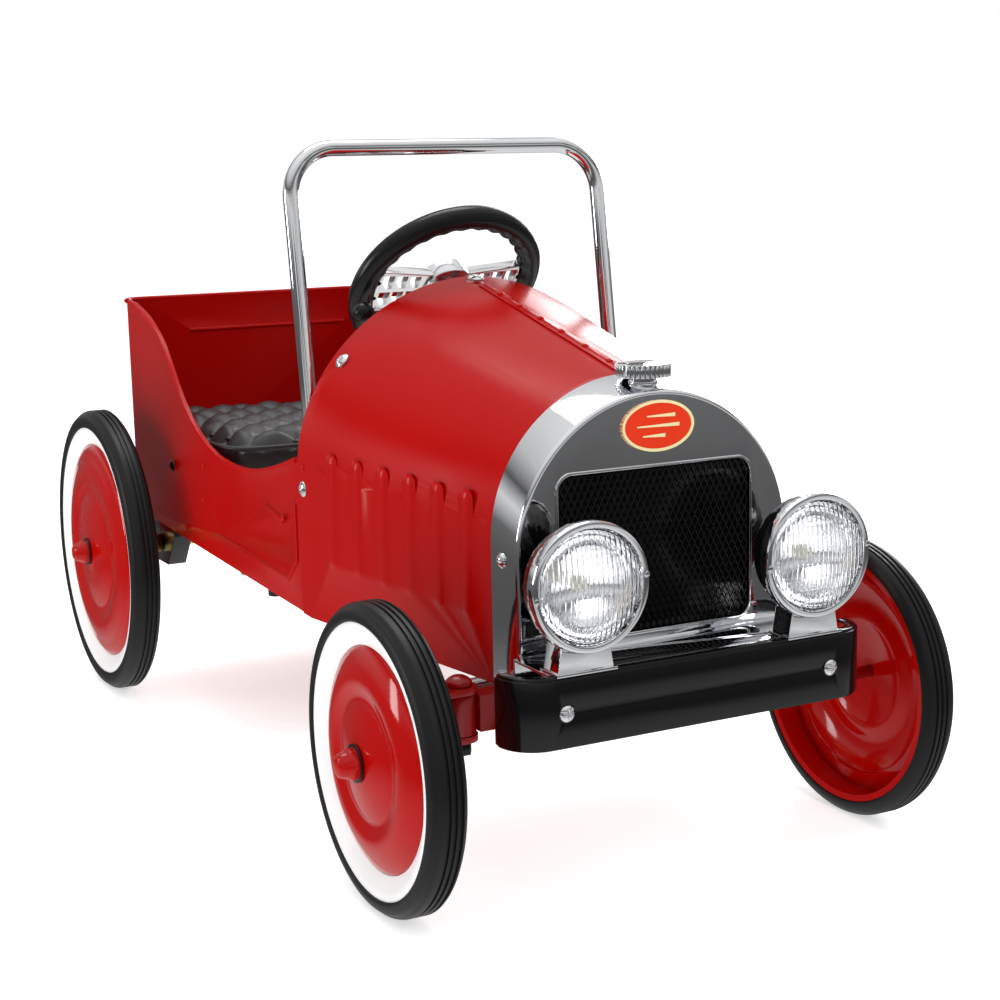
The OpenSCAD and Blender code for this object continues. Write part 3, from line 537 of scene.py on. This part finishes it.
# %% [markdown]
# ## Wheels in place
# A rolled piece lies flat round Z at the origin. It could be turned as an object, but its
# place has to end up in its mesh, so a matrix turns the mesh itself. Sizes come from the
# frame's own wheels. The hub caps are dressed parts, parted into a red cap and a black washer.

# %% Wheels in place
RING_WIDTH = 14.3
RING_SWELL = 0.6  # how far the ring's face bulges past its edge
TYRE_WIDTH = 22
WASHER = 1.3


def set_on_axle(piece, node, hand):
    """Turns a piece rolled round Z so that it faces outwards on its own axle."""
    low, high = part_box(node)
    side = 1 if hand == "left" else -1
    axle = (low + high) / 2
    axle.x = (high.x if side > 0 else low.x) - side * RING_SWELL * MM
    piece.data.transform(Matrix.Translation(axle) @ Matrix.Rotation(side * math.pi / 2, 4, "Y"))


def dress_wheel(axle, hand):
    wheel = f"wheel_{axle}_{hand}_"
    low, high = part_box(wheel + "tyre")
    outer = (high.z - low.z) / 2 / MM
    rim = (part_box(wheel + "ring")[1].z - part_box(wheel + "ring")[0].z) / 2 / MM - 0.2
    edge = rim - RING_WIDTH
    disc = rolled(wheel + "disc_turned", disc_section(edge, rim), thickness=1.3)
    ring = rolled(wheel + "ring_turned", ring_section(edge, rim))
    tyre = rolled(wheel + "tyre_turned", tyre_section(outer, rim, TYRE_WIDTH))
    for piece, material, part in ((disc, wheel_red, "disc"), (ring, white_plastic, "ring"),
                                  (tyre, tyre_rubber, "tyre")):
        set_on_axle(piece, wheel + "ring", hand)
        finish_piece(piece, material, BODY_OF[wheel + part], replaces=[wheel + part])
    cap = f"hub_cap_{axle}_{hand}"
    inner = min(abs(v.x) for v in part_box(cap)) / MM
    parting = inner + WASHER
    dressed(cap, wheel_red, 0.2, keep=lambda p: abs(p.x) > parting)
    dressed(cap, black_plastic, 0.2, name=cap + "_washer", keep=lambda p: abs(p.x) < parting)


for axle in ("front", "rear"):
    for hand in ("left", "right"):
        dress_wheel(axle, hand)

# %% [markdown]
# ## Chrome front
# The radiator is a shallow drawn shell: a flat face with an arched top, a rounded shoulder and
# a deep flange. It is drawn here from a circle, because plated metal shows every facet of a
# rough curve. The lower half of the circle is cut off, its straight edge is pulled down to
# make the legs of the arch, and the face is then extruded backwards.

# %% Radiator shell
SHELL_LOW, SHELL_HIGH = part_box("radiator_shell")
CAP_LOW, CAP_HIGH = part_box("radiator_cap")
ARCH_R = SHELL_HIGH.x - 0.25 * MM
FACE_Y = SHELL_LOW.y + 0.8 * MM
ARCH_Z = 206 * MM
FOOT_Z = ARCH_Z - 78 * MM
GRILLE = (68 * MM, 156 * MM, 256 * MM, 9 * MM)  # half width, bottom, top, corner radius


def rounded_slab(name, half, bottom, top, radius, front, depth):
    """A block with rounded corners, seen from the front."""
    bpy.ops.mesh.primitive_cube_add(size=1, location=(0, front + depth / 2, (bottom + top) / 2),
                                    scale=(2 * half, depth, top - bottom))
    slab = named(name)
    long = [e.key for e in slab.data.edges]
    points = slab.data.vertices
    corners = {key for key in long if abs(points[key[0]].co.y - points[key[1]].co.y) > depth / 2}
    with editing(slab, "EDGE", lambda edge: edge.key in corners):
        bpy.ops.mesh.bevel(offset=radius, segments=10)
    return slab


def add_radiator():
    bpy.ops.mesh.primitive_circle_add(vertices=128, radius=ARCH_R, fill_type="NGON",
                                      location=(0, FACE_Y, ARCH_Z), rotation=(math.pi / 2, 0, 0))
    shell = named("radiator_shell_finished")
    with editing(shell):
        bpy.ops.mesh.bisect(plane_co=(0, FACE_Y, ARCH_Z), plane_no=(0, 0, 1), clear_inner=True)
    flat = lambda edge: all(abs(shell.data.vertices[v].co.z - ARCH_Z) < 1e-5 for v in edge.vertices)
    leg = SHELL_LOW.z - ARCH_Z + 0.6 * MM
    with editing(shell, "EDGE", flat):
        bpy.ops.mesh.extrude_region_move(TRANSFORM_OT_translate={"value": (0, 0, leg)})
    with editing(shell):
        bpy.ops.mesh.dissolve_limited(angle_limit=math.radians(0.5))
        bpy.ops.mesh.extrude_region_move(
            TRANSFORM_OT_translate={"value": (0, SHELL_HIGH.y - FACE_Y, 7.6 * MM)})
    back = SHELL_HIGH.y - 0.01 * MM
    shape(shell, lambda p: p - Vector((0, 0, 6.6 * MM)) if p.y > back and p.z < ARCH_Z - 0.06 else p)
    open_side = lambda face: face.center.y > back or face.center.z < FOOT_Z - 0.5 * MM
    with editing(shell, "FACE", open_side):
        bpy.ops.mesh.delete(type="FACE")

    def on_shoulder(edge):
        ends = [shell.data.vertices[v].co for v in edge.vertices]
        return all(p.y < FACE_Y + 1e-5 for p in ends) and not all(p.z < FOOT_Z for p in ends)

    with editing(shell, "EDGE", on_shoulder):
        bpy.ops.mesh.bevel(offset=2.6 * MM, segments=5)
    with editing(shell):
        bpy.ops.mesh.normals_make_consistent(inside=False)
    apply_modifier(shell, "SOLIDIFY", thickness=1.2 * MM, offset=-1)
    cutter = rounded_slab("grille_cutter", *GRILLE, FACE_Y - 0.01, 0.02)
    apply_modifier(shell, "BOOLEAN", object=cutter, operation="DIFFERENCE", solver="EXACT")
    bpy.data.objects.remove(cutter)
    smooth(shell, 30)
    return shell


shell = add_radiator()
print("radiator shell faces:", len(shell.data.polygons))

# %% [markdown]
# ## Filler neck and grille surround
# The cap stands on a short neck that flares into the shell, and a proud rim runs round the
# opening. The neck could be spun. A subdivided cylinder whose points move by a rule is quicker,
# as its flare is one formula. The rim is a rounded slab with a smaller one cut out of it.


# %% Filler neck and grille surround
def add_neck():
    neck_y = (CAP_LOW.y + CAP_HIGH.y) / 2
    bpy.ops.mesh.primitive_cylinder_add(vertices=48, radius=8.2 * MM, depth=14 * MM,
                                        location=(0, neck_y, CAP_LOW.z - 7 * MM))
    neck = named("filler_neck")
    with editing(neck, "FACE", lambda face: face.normal.z < -0.9):
        bpy.ops.mesh.inset(thickness=0.001, depth=0)
        bpy.ops.mesh.delete(type="FACE")
    with editing(neck, "FACE", lambda face: abs(face.normal.z) < 0.1):
        bpy.ops.mesh.subdivide(number_cuts=9)
    base = CAP_LOW.z - 14 * MM

    def flare(p):
        up = (p.z - base) / MM
        grow = 1 + 0.75 * max(0.0, 1 - up / 8) ** 2 + (0.1 if 9 < up < 12 else 0)
        return Vector((p.x * grow, neck_y + (p.y - neck_y) * grow, p.z))

    shape(neck, flare)
    smooth(neck, 40)
    return neck


def add_grille_rim():
    half, bottom, top, radius = GRILLE
    proud = 1.0 * MM
    rim = rounded_slab("grille_rim", half + 2 * MM, bottom - 2 * MM, top + 2 * MM,
                       radius + 2 * MM, FACE_Y - proud, proud + 2 * MM)
    hole = rounded_slab("rim_cutter", half, bottom, top, radius, FACE_Y - 0.01, 0.02)
    apply_modifier(rim, "BOOLEAN", object=hole, operation="DIFFERENCE", solver="EXACT")
    bpy.data.objects.remove(hole)
    apply_modifier(rim, "BEVEL", width=0.5 * MM, segments=3, limit_method="ANGLE",
                   angle_limit=math.radians(50))
    smooth(rim, 40)
    return rim


finish_piece(joined([shell, add_neck(), add_grille_rim()], "radiator_shell_finished"), chrome,
             "chassis", replaces=["radiator_shell"])

# %% [markdown]
# ## Grille
# Behind the opening lies black expanded metal. Its lozenges are two families of slanted
# strands over a black plate. One strand is modelled, set in a row by an array, and the row is
# cut to the opening's height, so that each strand ends where the plate does.

# %% Expanded metal
MESH_LOW, MESH_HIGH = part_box("grille_mesh")
STRAND_PITCH = 4.6 * MM
STRAND_LEAN = math.radians(27)


def strand_row(name, lean, front):
    count = int((MESH_HIGH.x - MESH_LOW.x) / STRAND_PITCH) + 14
    start = MESH_LOW.x - 7 * STRAND_PITCH
    middle = (MESH_LOW.z + MESH_HIGH.z) / 2
    bpy.ops.mesh.primitive_cube_add(size=1, location=(0, 0, 0), scale=(0.9 * MM, 0.9 * MM, 0.13))
    row = named(name)
    with editing(row, "EDGE", lambda edge: True):
        bpy.ops.mesh.bevel(offset=0.25 * MM, segments=1)
    row.data.transform(Matrix.Translation((start, front, middle)) @ Matrix.Rotation(lean, 4, "Y"))
    apply_modifier(row, "ARRAY", use_relative_offset=False, use_constant_offset=True,
                   constant_offset_displace=(STRAND_PITCH, 0, 0), count=count)
    half, bottom, top, _ = GRILLE
    sides = ((Vector((-half - 2 * MM, 0, 0)), (-1, 0, 0)), (Vector((half + 2 * MM, 0, 0)), (1, 0, 0)),
             (Vector((0, 0, bottom - 2 * MM)), (0, 0, -1)), (Vector((0, 0, top + 2 * MM)), (0, 0, 1)))
    for place, outward in sides:
        with editing(row):
            bpy.ops.mesh.bisect(plane_co=place, plane_no=outward, clear_outer=True, use_fill=True)
    return row


def add_grille():
    depth = MESH_HIGH.y - 0.6 * MM
    plate = rounded_slab("grille_plate", (MESH_HIGH.x - MESH_LOW.x) / 2, MESH_LOW.z, MESH_HIGH.z,
                         4 * MM, depth, 0.6 * MM)
    rows = [strand_row("strands", STRAND_LEAN, MESH_LOW.y + 0.8 * MM),
            strand_row("counter_strands", -STRAND_LEAN, MESH_LOW.y + 1.4 * MM)]
    grille = joined([plate, *rows], "grille_expanded_metal")
    smooth(grille, 30)
    return grille


finish_piece(add_grille(), black_enamel, "chassis", replaces=["grille_mesh"])

# %% [markdown]
# ## Badge
# The badge is an oval of fired enamel with a raised cream edge. Its emblem is a plain one of
# three speed lines, so it carries no lettering. Two enamels could share one mesh by face. They
# are parted into two pieces here, by depth, as the real colours lie in separate fields.

# %% Badge
FIELD_DEPTH = 0.6


def on_field(p):
    """True on the sunk face inside the badge's raised edge."""
    return abs(p.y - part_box("badge")[0].y / MM - FIELD_DEPTH) < 0.05


badge_red = enamel("badge_red_enamel", (0.78, 0.035, 0.004), 0.16, 0.3, 0.00005)
cream = enamel("cream_enamel", (0.86, 0.74, 0.38), 0.2, 0.6, 0.00003)
dressed("badge", badge_red, 0, name="badge_field", keep=on_field)
dressed("badge", cream, 0.15, name="badge_border", keep=lambda p: not on_field(p))


def add_speed_lines():
    low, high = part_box("badge")
    middle = (low + high) / 2
    bars = []
    for row, (length, shift) in enumerate(((20, 2), (30, 0), (16, -3))):
        place = (middle.x + shift * MM, high.y - 1.4 * MM, middle.z + (6 - 6 * row) * MM)
        bpy.ops.mesh.primitive_cube_add(size=1, location=place, scale=(length * MM, 0.6 * MM, 2.4 * MM))
        bar = named(f"speed_line_{row}")
        with editing(bar, "EDGE", lambda edge: True):
            bpy.ops.mesh.bevel(offset=0.28 * MM, segments=2)
        with editing(bar, "VERT", lambda v: v.co.x < middle.x):
            bpy.ops.transform.resize(value=(1, 1, 0.35), center_override=place)
        bars.append(bar)
    emblem = joined(bars, "badge_speed_lines")
    smooth(emblem, 40)
    return emblem


finish_piece(add_speed_lines(), cream, "chassis")

# %% [markdown]
# ## Headlamps
# Each lamp is a black bucket, a bright dish, a bulb, a pressed glass and a chrome rim. The
# glass is a shallow dome with columns of small upright prisms that spread the light. A flat
# grid is bent to the dome, and its points are raised and sunk to draw the prisms.

# %% Lamp glass, dish and bulb
LENS_R = 33.8 * MM
PRISM_W = 3.4 * MM
PRISM_H = 8.4 * MM
glass = Finish("lens_glass", (0.97, 0.98, 1.0), Roughness=0.02, IOR=1.46, Transmission_Weight=1.0)
glass.bump(glass.noise(600.0, 1.0), 0.00002)
lens_glass = glass.material
dish_chrome = metal("dish_chrome", (0.95, 0.95, 0.96), 0.04, 0.04)
bulb_finish = Finish("bulb_glass", (0.95, 0.9, 0.75), Roughness=0.1, Specular_IOR_Level=0.8)


def prism(across, up):
    """How far the pressed glass stands proud of the dome at a place."""
    column = abs(math.sin(math.pi * across / PRISM_W))
    band = abs(math.sin(math.pi * (up / PRISM_H + 0.5)))
    return 0.75 * MM * column * min(1.0, band * 4) ** 0.5


def add_lens(hand, centre):
    bpy.ops.mesh.primitive_grid_add(x_subdivisions=180, y_subdivisions=90, size=2 * LENS_R)
    lens = named(f"headlamp_glass_{hand}")

    def bend(p):
        flat = Vector((p.x, p.y))
        if flat.length > LENS_R:
            flat *= LENS_R / flat.length
        near = flat.length / LENS_R
        rise = 5.2 * MM * (1 - near ** 2) + prism(flat.x, flat.y) * min(1.0, 12 * (1 - near))
        return Vector((centre.x + flat.x, centre.y - rise, centre.z + flat.y))

    shape(lens, bend)
    with editing(lens):
        bpy.ops.mesh.remove_doubles(threshold=0.00005)
        bpy.ops.mesh.dissolve_degenerate(threshold=0.00002)
        bpy.ops.mesh.normals_make_consistent(inside=False)
    outward = lens.data.polygons[0].normal.y < 0
    apply_modifier(lens, "SOLIDIFY", thickness=1.2 * MM, offset=-1 if outward else 1)
    smooth(lens, 50)
    return lens


def add_dish(hand, centre):
    bpy.ops.mesh.primitive_uv_sphere_add(segments=64, ring_count=32, radius=1, rotation=(math.pi / 2, 0, 0))
    dish = named(f"headlamp_dish_{hand}")
    with editing(dish):
        bpy.ops.mesh.bisect(plane_co=(0, 0.08, 0), plane_no=(0, 1, 0), clear_inner=True)
    size = Vector((33.4 * MM, 25 * MM, 33.4 * MM))
    shape(dish, lambda p: centre + Vector((p.x * size.x, 0.5 * MM + p.y * size.y, p.z * size.z)))
    apply_modifier(dish, "SOLIDIFY", thickness=0.6 * MM, offset=1)
    smooth(dish, 60)
    return dish


def add_bulb(hand, centre):
    bpy.ops.mesh.primitive_uv_sphere_add(segments=24, ring_count=16, radius=5 * MM,
                                         location=centre + Vector((0, 12 * MM, 0)))
    bulb = named(f"headlamp_bulb_{hand}")
    shape(bulb, lambda p: Vector((p.x, centre.y + 12 * MM + (p.y - centre.y - 12 * MM) * 1.5, p.z)))
    smooth(bulb, 60)
    return bulb


for hand in ("left", "right"):
    rim_low, rim_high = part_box(f"headlamp_rim_{hand}")
    centre = (rim_low + rim_high) / 2
    centre.y = rim_low.y + 2.8 * MM
    finish_piece(add_lens(hand, centre), lens_glass, "chassis",
                 replaces=[f"headlamp_lens_{hand}"])
    finish_piece(add_dish(hand, centre), dish_chrome, "chassis")
    finish_piece(add_bulb(hand, centre), bulb_finish.material, "chassis")

# %% [markdown]
# ## Steering wheel
# The rim is a moulded ring, round on top and scalloped inside for the fingers, with a shallow
# groove where the two halves of the moulding meet. A torus has all of that once its points
# are moved by a rule that knows the angle along the ring and round its section.

# %% Steering rim
STEER = next(j for j in frame["joints"] if j["child"] == "steering")
HUB = Vector(STEER["pos_m"])
TILT = Vector((0, 0, 1)).rotation_difference(Vector(STEER["axis"])).to_matrix().to_4x4()
RING_R = 65 * MM
RIM_R = 9 * MM
GRIPS = 28


def add_rim():
    bpy.ops.mesh.primitive_torus_add(major_radius=RING_R, minor_radius=RIM_R,
                                     major_segments=336, minor_segments=36)
    rim = named("steering_rim_moulded")

    def mould(p):
        along = math.atan2(p.y, p.x)
        out = math.hypot(p.x, p.y) - RING_R
        turn = math.atan2(p.z, out)
        inward = max(0.0, -math.cos(turn)) ** 0.8
        scallop = 1.5 * MM * inward * (0.5 + 0.5 * math.cos(GRIPS * along)) ** 0.7
        seam = 0.7 * MM * math.exp(-((turn + 2.3) / 0.09) ** 2)
        seam += 0.7 * MM * math.exp(-((turn + 0.8) / 0.09) ** 2)
        radius = RIM_R - 0.15 * MM - scallop - seam
        reach = RING_R + radius * math.cos(turn)
        return Vector((reach * math.cos(along), reach * math.sin(along), radius * math.sin(turn)))

    shape(rim, mould)
    rim.data.transform(Matrix.Translation(HUB) @ TILT)
    smooth(rim, 50)
    return rim


finish_piece(add_rim(), black_plastic, "steering", replaces=["steering_rim"])
dressed("steering_spokes", silver, 0.5)

# %% [markdown]
# ## Column lever
# A chrome lever with a black ball stands out from the column under the wheel. It is one part
# in the frame, so its copy is parted at the ball, which is found by its distance from a point
# that is given in the wheel's own tilted directions.

# %% Column lever and its ball
BALL = HUB + TILT.to_3x3() @ Vector((-72.5 * MM, 0, -23.6 * MM))
BALL_REACH = 7.7 * MM
near_ball = lambda p: (p * MM - BALL).length < BALL_REACH
dressed("column_lever", chrome, 0.2, keep=lambda p: not near_ball(p))
dressed("column_lever", black_plastic, 0, name="column_lever_ball", keep=near_ball, angle=60)

# %% [markdown]
# ## Trim
# The windscreen tube, bumper shelf, lamp rims and cap are plated, and the lamp buckets are
# black. The bumper is given black enamel, which is a painted reflection: it stands for the
# dark surroundings mirrored in its plating. Their shapes are right in the frame. A narrow
# bevel is what they need, because a plated edge shows as a bright line.

# %% Other chrome and black trim
for part in ("radiator_cap", "bumper_shelf", "windscreen_frame", "headlamp_rim_left",
             "headlamp_rim_right", "headlamp_bracket_left", "headlamp_bracket_right"):
    dressed(part, chrome, 0.3)
# the bumper's black is a painted reflection of dark surroundings in its plating; the lamp buckets are black
# in fact
for part in ("bumper", "headlamp_shell_left", "headlamp_shell_right"):
    dressed(part, black_enamel, 0.3)

# %% [markdown]
# ## Seat cushion
# The cushion is a foam pad in black leatherette, pulled down by rows of buttons. A rounded
# block is remeshed, blown up a little as cloth under pressure so that its top crowns and its
# sides bulge, and then quilted: its top sinks along two sets of diagonal seams.

# %% Blow up the pad
PAD_LOW, PAD_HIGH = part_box("seat_cushion")
PAD_MID = (PAD_LOW + PAD_HIGH) / 2
SWELL_CAP = 7 * MM


def add_pad_block():
    size = PAD_HIGH - PAD_LOW - Vector((8, 8, 8)) * MM
    bpy.ops.mesh.primitive_cube_add(size=1, location=PAD_MID - Vector((0, 0, 2 * MM)), scale=size)
    pad = named("seat_cushion_tufted")
    with editing(pad, "EDGE", lambda edge: True):
        bpy.ops.mesh.bevel(offset=9 * MM, segments=4)
    apply_modifier(pad, "REMESH", mode="VOXEL", voxel_size=0.005)
    return pad


def blow_up(pad):
    start = [v.co.copy() for v in pad.data.vertices]
    focus(pad)
    cloth = pad.modifiers.new("cloth", "CLOTH")
    cloth.settings.use_pressure = True
    cloth.settings.uniform_pressure_force = 4
    cloth.settings.effector_weights.gravity = 0
    cloth.settings.quality = 4
    scene = bpy.context.scene
    for frame_number in range(1, 21):
        scene.frame_set(frame_number)
    bpy.ops.object.modifier_apply(modifier="cloth")
    scene.frame_set(1)
    for vertex, was in zip(pad.data.vertices, start):
        move = vertex.co - was
        if move.length > SWELL_CAP:
            vertex.co = was + move * (SWELL_CAP / move.length)


pad = add_pad_block()
blow_up(pad)
apply_modifier(pad, "SUBSURF", levels=1, render_levels=1)
print("pad points:", len(pad.data.vertices))

# %% [markdown]
# ## Tufting
# Buttons pull the cover down at the crossings of two sets of diagonal seams. The seams could be
# sewn in the cloth, but a rule that sinks the top by a product of two sines gives lozenges of
# one size every time. Buttons are copied to the crossings, and a piping runs round the top.

# %% Quilt it and add its buttons and piping
TUFT = Vector((42 * MM, 39.4 * MM))
TUFT_DEPTH = 9 * MM


def puff(x, y):
    """1 in the middle of a lozenge, 0 along its seams."""
    across, along = (x - PAD_MID.x) / TUFT.x, (y - PAD_MID.y) / TUFT.y
    ridges = abs(math.sin(math.pi * (across + along)) * math.sin(math.pi * (across - along)))
    return ridges ** 0.45


def quilt(p):
    up = max(0.0, min(1.0, (p.z - PAD_MID.z) / (12 * MM)))
    edge = min(p.x - PAD_LOW.x, PAD_HIGH.x - p.x, p.y - PAD_LOW.y, PAD_HIGH.y - p.y)
    hold = max(0.0, min(1.0, edge / (14 * MM)))
    sink = TUFT_DEPTH * (1 - puff(p.x, p.y)) * up * hold
    return Vector((p.x, p.y, max(PAD_LOW.z + 0.3 * MM, min(p.z, PAD_HIGH.z + 6 * MM) - sink)))


shape(pad, quilt)
smooth(pad, 70)


def top_of_pad(x, y):
    hit, place, _, _ = pad.ray_cast(Vector((x, y, 1)), Vector((0, 0, -1)))
    return place.z if hit else PAD_HIGH.z


def add_buttons():
    bpy.ops.mesh.primitive_uv_sphere_add(segments=16, ring_count=8, radius=5 * MM)
    button = named("button")
    shape(button, lambda p: Vector((p.x, p.y, p.z * 0.45)))
    smooth(button, 60)
    made = []
    for row in range(-5, 6):
        for column in range(-5, 6):
            if (row + column) % 2 == 0:
                x = PAD_MID.x + column * TUFT.x / 2
                y = PAD_MID.y + row * TUFT.y / 2
                made.append(copy_of(button, "button_copy", (x, y, top_of_pad(x, y) + 0.6 * MM)))
    bpy.data.objects.remove(button)
    return joined(made, "seat_cushion_buttons")


def add_piping():
    half = (PAD_HIGH - PAD_LOW) / 2 - Vector((1.5, 1.5, 0)) * MM
    bpy.ops.mesh.primitive_torus_add(major_radius=1, minor_radius=0.2, major_segments=256,
                                     minor_segments=10)
    piping = named("seat_cushion_piping")

    def lay(p):
        along = math.atan2(p.y, p.x)
        out = (math.hypot(p.x, p.y) - 1) / 0.2 * 2.2 * MM
        square = (abs(math.cos(along)) ** 9 + abs(math.sin(along)) ** 9) ** (-1 / 9)
        reach = Vector((math.cos(along) * half.x, math.sin(along) * half.y)) * square
        reach += reach.normalized() * out
        return Vector((PAD_MID.x + reach.x, PAD_MID.y + reach.y, PAD_MID.z + 9 * MM + p.z * 11 * MM))

    shape(piping, lay)
    smooth(piping, 60)
    return piping


def leatherette(name):
    finish = Finish(name, (0.016, 0.016, 0.017), Specular_IOR_Level=0.45)
    pores = finish.node("ShaderNodeTexVoronoi", {"feature": "DISTANCE_TO_EDGE"},
                        {"Vector": finish.place, "Scale": 620.0})
    patch = finish.noise(18.0, 4.0)
    finish.feed("Base Color", finish.mix(patch, (0.012, 0.012, 0.013, 1), (0.030, 0.030, 0.032, 1)))
    finish.feed("Roughness", patch * 0.15 + 0.40)
    finish.bump(pores * 0.5 + finish.noise(60.0, 2.0), 0.0004)
    return finish.material


black_leather = leatherette("black_leatherette")
finish_piece(pad, black_leather, "chassis", replaces=["seat_cushion"])
finish_piece(add_buttons(), black_leather, "chassis")
finish_piece(add_piping(), black_leather, "chassis")

# %% [markdown]
# ## Floor and light
# The car stands on pale paper under large soft lamps. A small lamp would give hard shadows, so
# each one is a rectangle of a metre or so. The paper glows a little, as paper does that runs up
# behind a set, and the fill lamps aren't mirrored, which keeps plated parts free of squares.

# %% Floor, light and surroundings
PALE = (0.86, 0.86, 0.86)
PAPER_GLOW = 0.55


def add_floor():
    bpy.ops.mesh.primitive_plane_add(size=40)
    floor = named("floor")
    finish = Finish("floor_paper", PALE, Roughness=0.6, Specular_IOR_Level=0.0,
                    Emission_Color=(1, 1, 1, 1), Emission_Strength=PAPER_GLOW)
    floor.data.materials.append(finish.material)
    floor.visible_glossy = False


def add_softbox(name, place, aim, size, watts, mirrored_in=True):
    lamp = bpy.data.lights.new(name, "AREA")
    lamp.shape = "RECTANGLE"
    lamp.size, lamp.size_y = size
    lamp.energy = watts
    box = bpy.data.objects.new(name, lamp)
    bpy.context.scene.collection.objects.link(box)
    box.location = place
    box.visible_glossy = mirrored_in
    box.rotation_euler = (Vector(aim) - Vector(place)).to_track_quat("-Z", "Y").to_euler()
    print(name, "of", watts, "W")


add_floor()
add_softbox("top_softbox", (0.2, 0.6, 2.2), (0, 0, 0.2), (1.4, 1.0), 18)
add_softbox("back_right_softbox", (2.0, 1.5, 1.0), (0, 0, 0.3), (1.4, 1.4), 40)
add_softbox("left_window", (-2.2, 0.9, 0.6), (0, 0, 0.15), (0.35, 0.8), 9)
add_softbox("left_fill", (-2.6, -0.6, 0.9), (0, 0, 0.15), (2.5, 1.8), 5, mirrored_in=False)
add_softbox("front_fill", (-0.2, -2.6, 1.9), (0, 0.2, 0.3), (2.0, 1.6), 22, mirrored_in=False)

# %% [markdown]
# ## What the chrome mirrors
# Chrome is only as good as what it mirrors. The camera looks at a plain white backdrop, but
# every other ray meets a studio of bright and dark bands: a pale floor, a dark skirt round
# the horizon, a bright strip above it, a dark gap and a bright ceiling. Cards could be set up
# round the car. A colour ramp over height does the same and casts no shadow.


# %% Studio surroundings
def background(tree, level):
    node = tree.nodes.new("ShaderNodeBackground")
    if isinstance(level, bpy.types.NodeSocket):
        tree.links.new(level, node.inputs["Color"])
    else:
        node.inputs["Color"].default_value = (level, level, level, 1)
    return node.outputs[0]


def add_world():
    world = bpy.data.worlds.new("studio")
    bpy.context.scene.world = world
    world.use_nodes = True
    tree = world.node_tree
    tree.nodes.clear()
    place = tree.nodes.new("ShaderNodeTexCoord")
    split = tree.nodes.new("ShaderNodeSeparateXYZ")
    tree.links.new(place.outputs["Generated"], split.inputs[0])
    ramp = tree.nodes.new("ShaderNodeValToRGB")
    stops = ((0.0, 0.95), (0.30, 0.55), (0.38, 0.09), (0.50, 0.15), (0.60, 0.75), (0.68, 0.10),
             (0.78, 0.60), (0.95, 0.95))
    while len(ramp.color_ramp.elements) < len(stops):
        ramp.color_ramp.elements.new(0.5)
    for element, (at, level) in zip(ramp.color_ramp.elements, stops):
        element.position = at
        element.color = (level, level, level, 1)
    height = Value(tree, split.outputs["Z"]) * 0.5 + 0.5
    tree.links.new(height.socket, ramp.inputs[0])
    ray = tree.nodes.new("ShaderNodeLightPath")
    seen_or_not = tree.nodes.new("ShaderNodeMixShader")
    tree.links.new(ray.outputs["Is Camera Ray"], seen_or_not.inputs[0])
    tree.links.new(background(tree, ramp.outputs[0]), seen_or_not.inputs[1])
    tree.links.new(background(tree, 1.0), seen_or_not.inputs[2])
    out = tree.nodes.new("ShaderNodeOutputWorld")
    tree.links.new(seen_or_not.outputs[0], out.inputs[0])


add_world()
bpy.context.scene.view_settings.view_transform = "Standard"
print("surroundings:", bpy.context.scene.world.name)
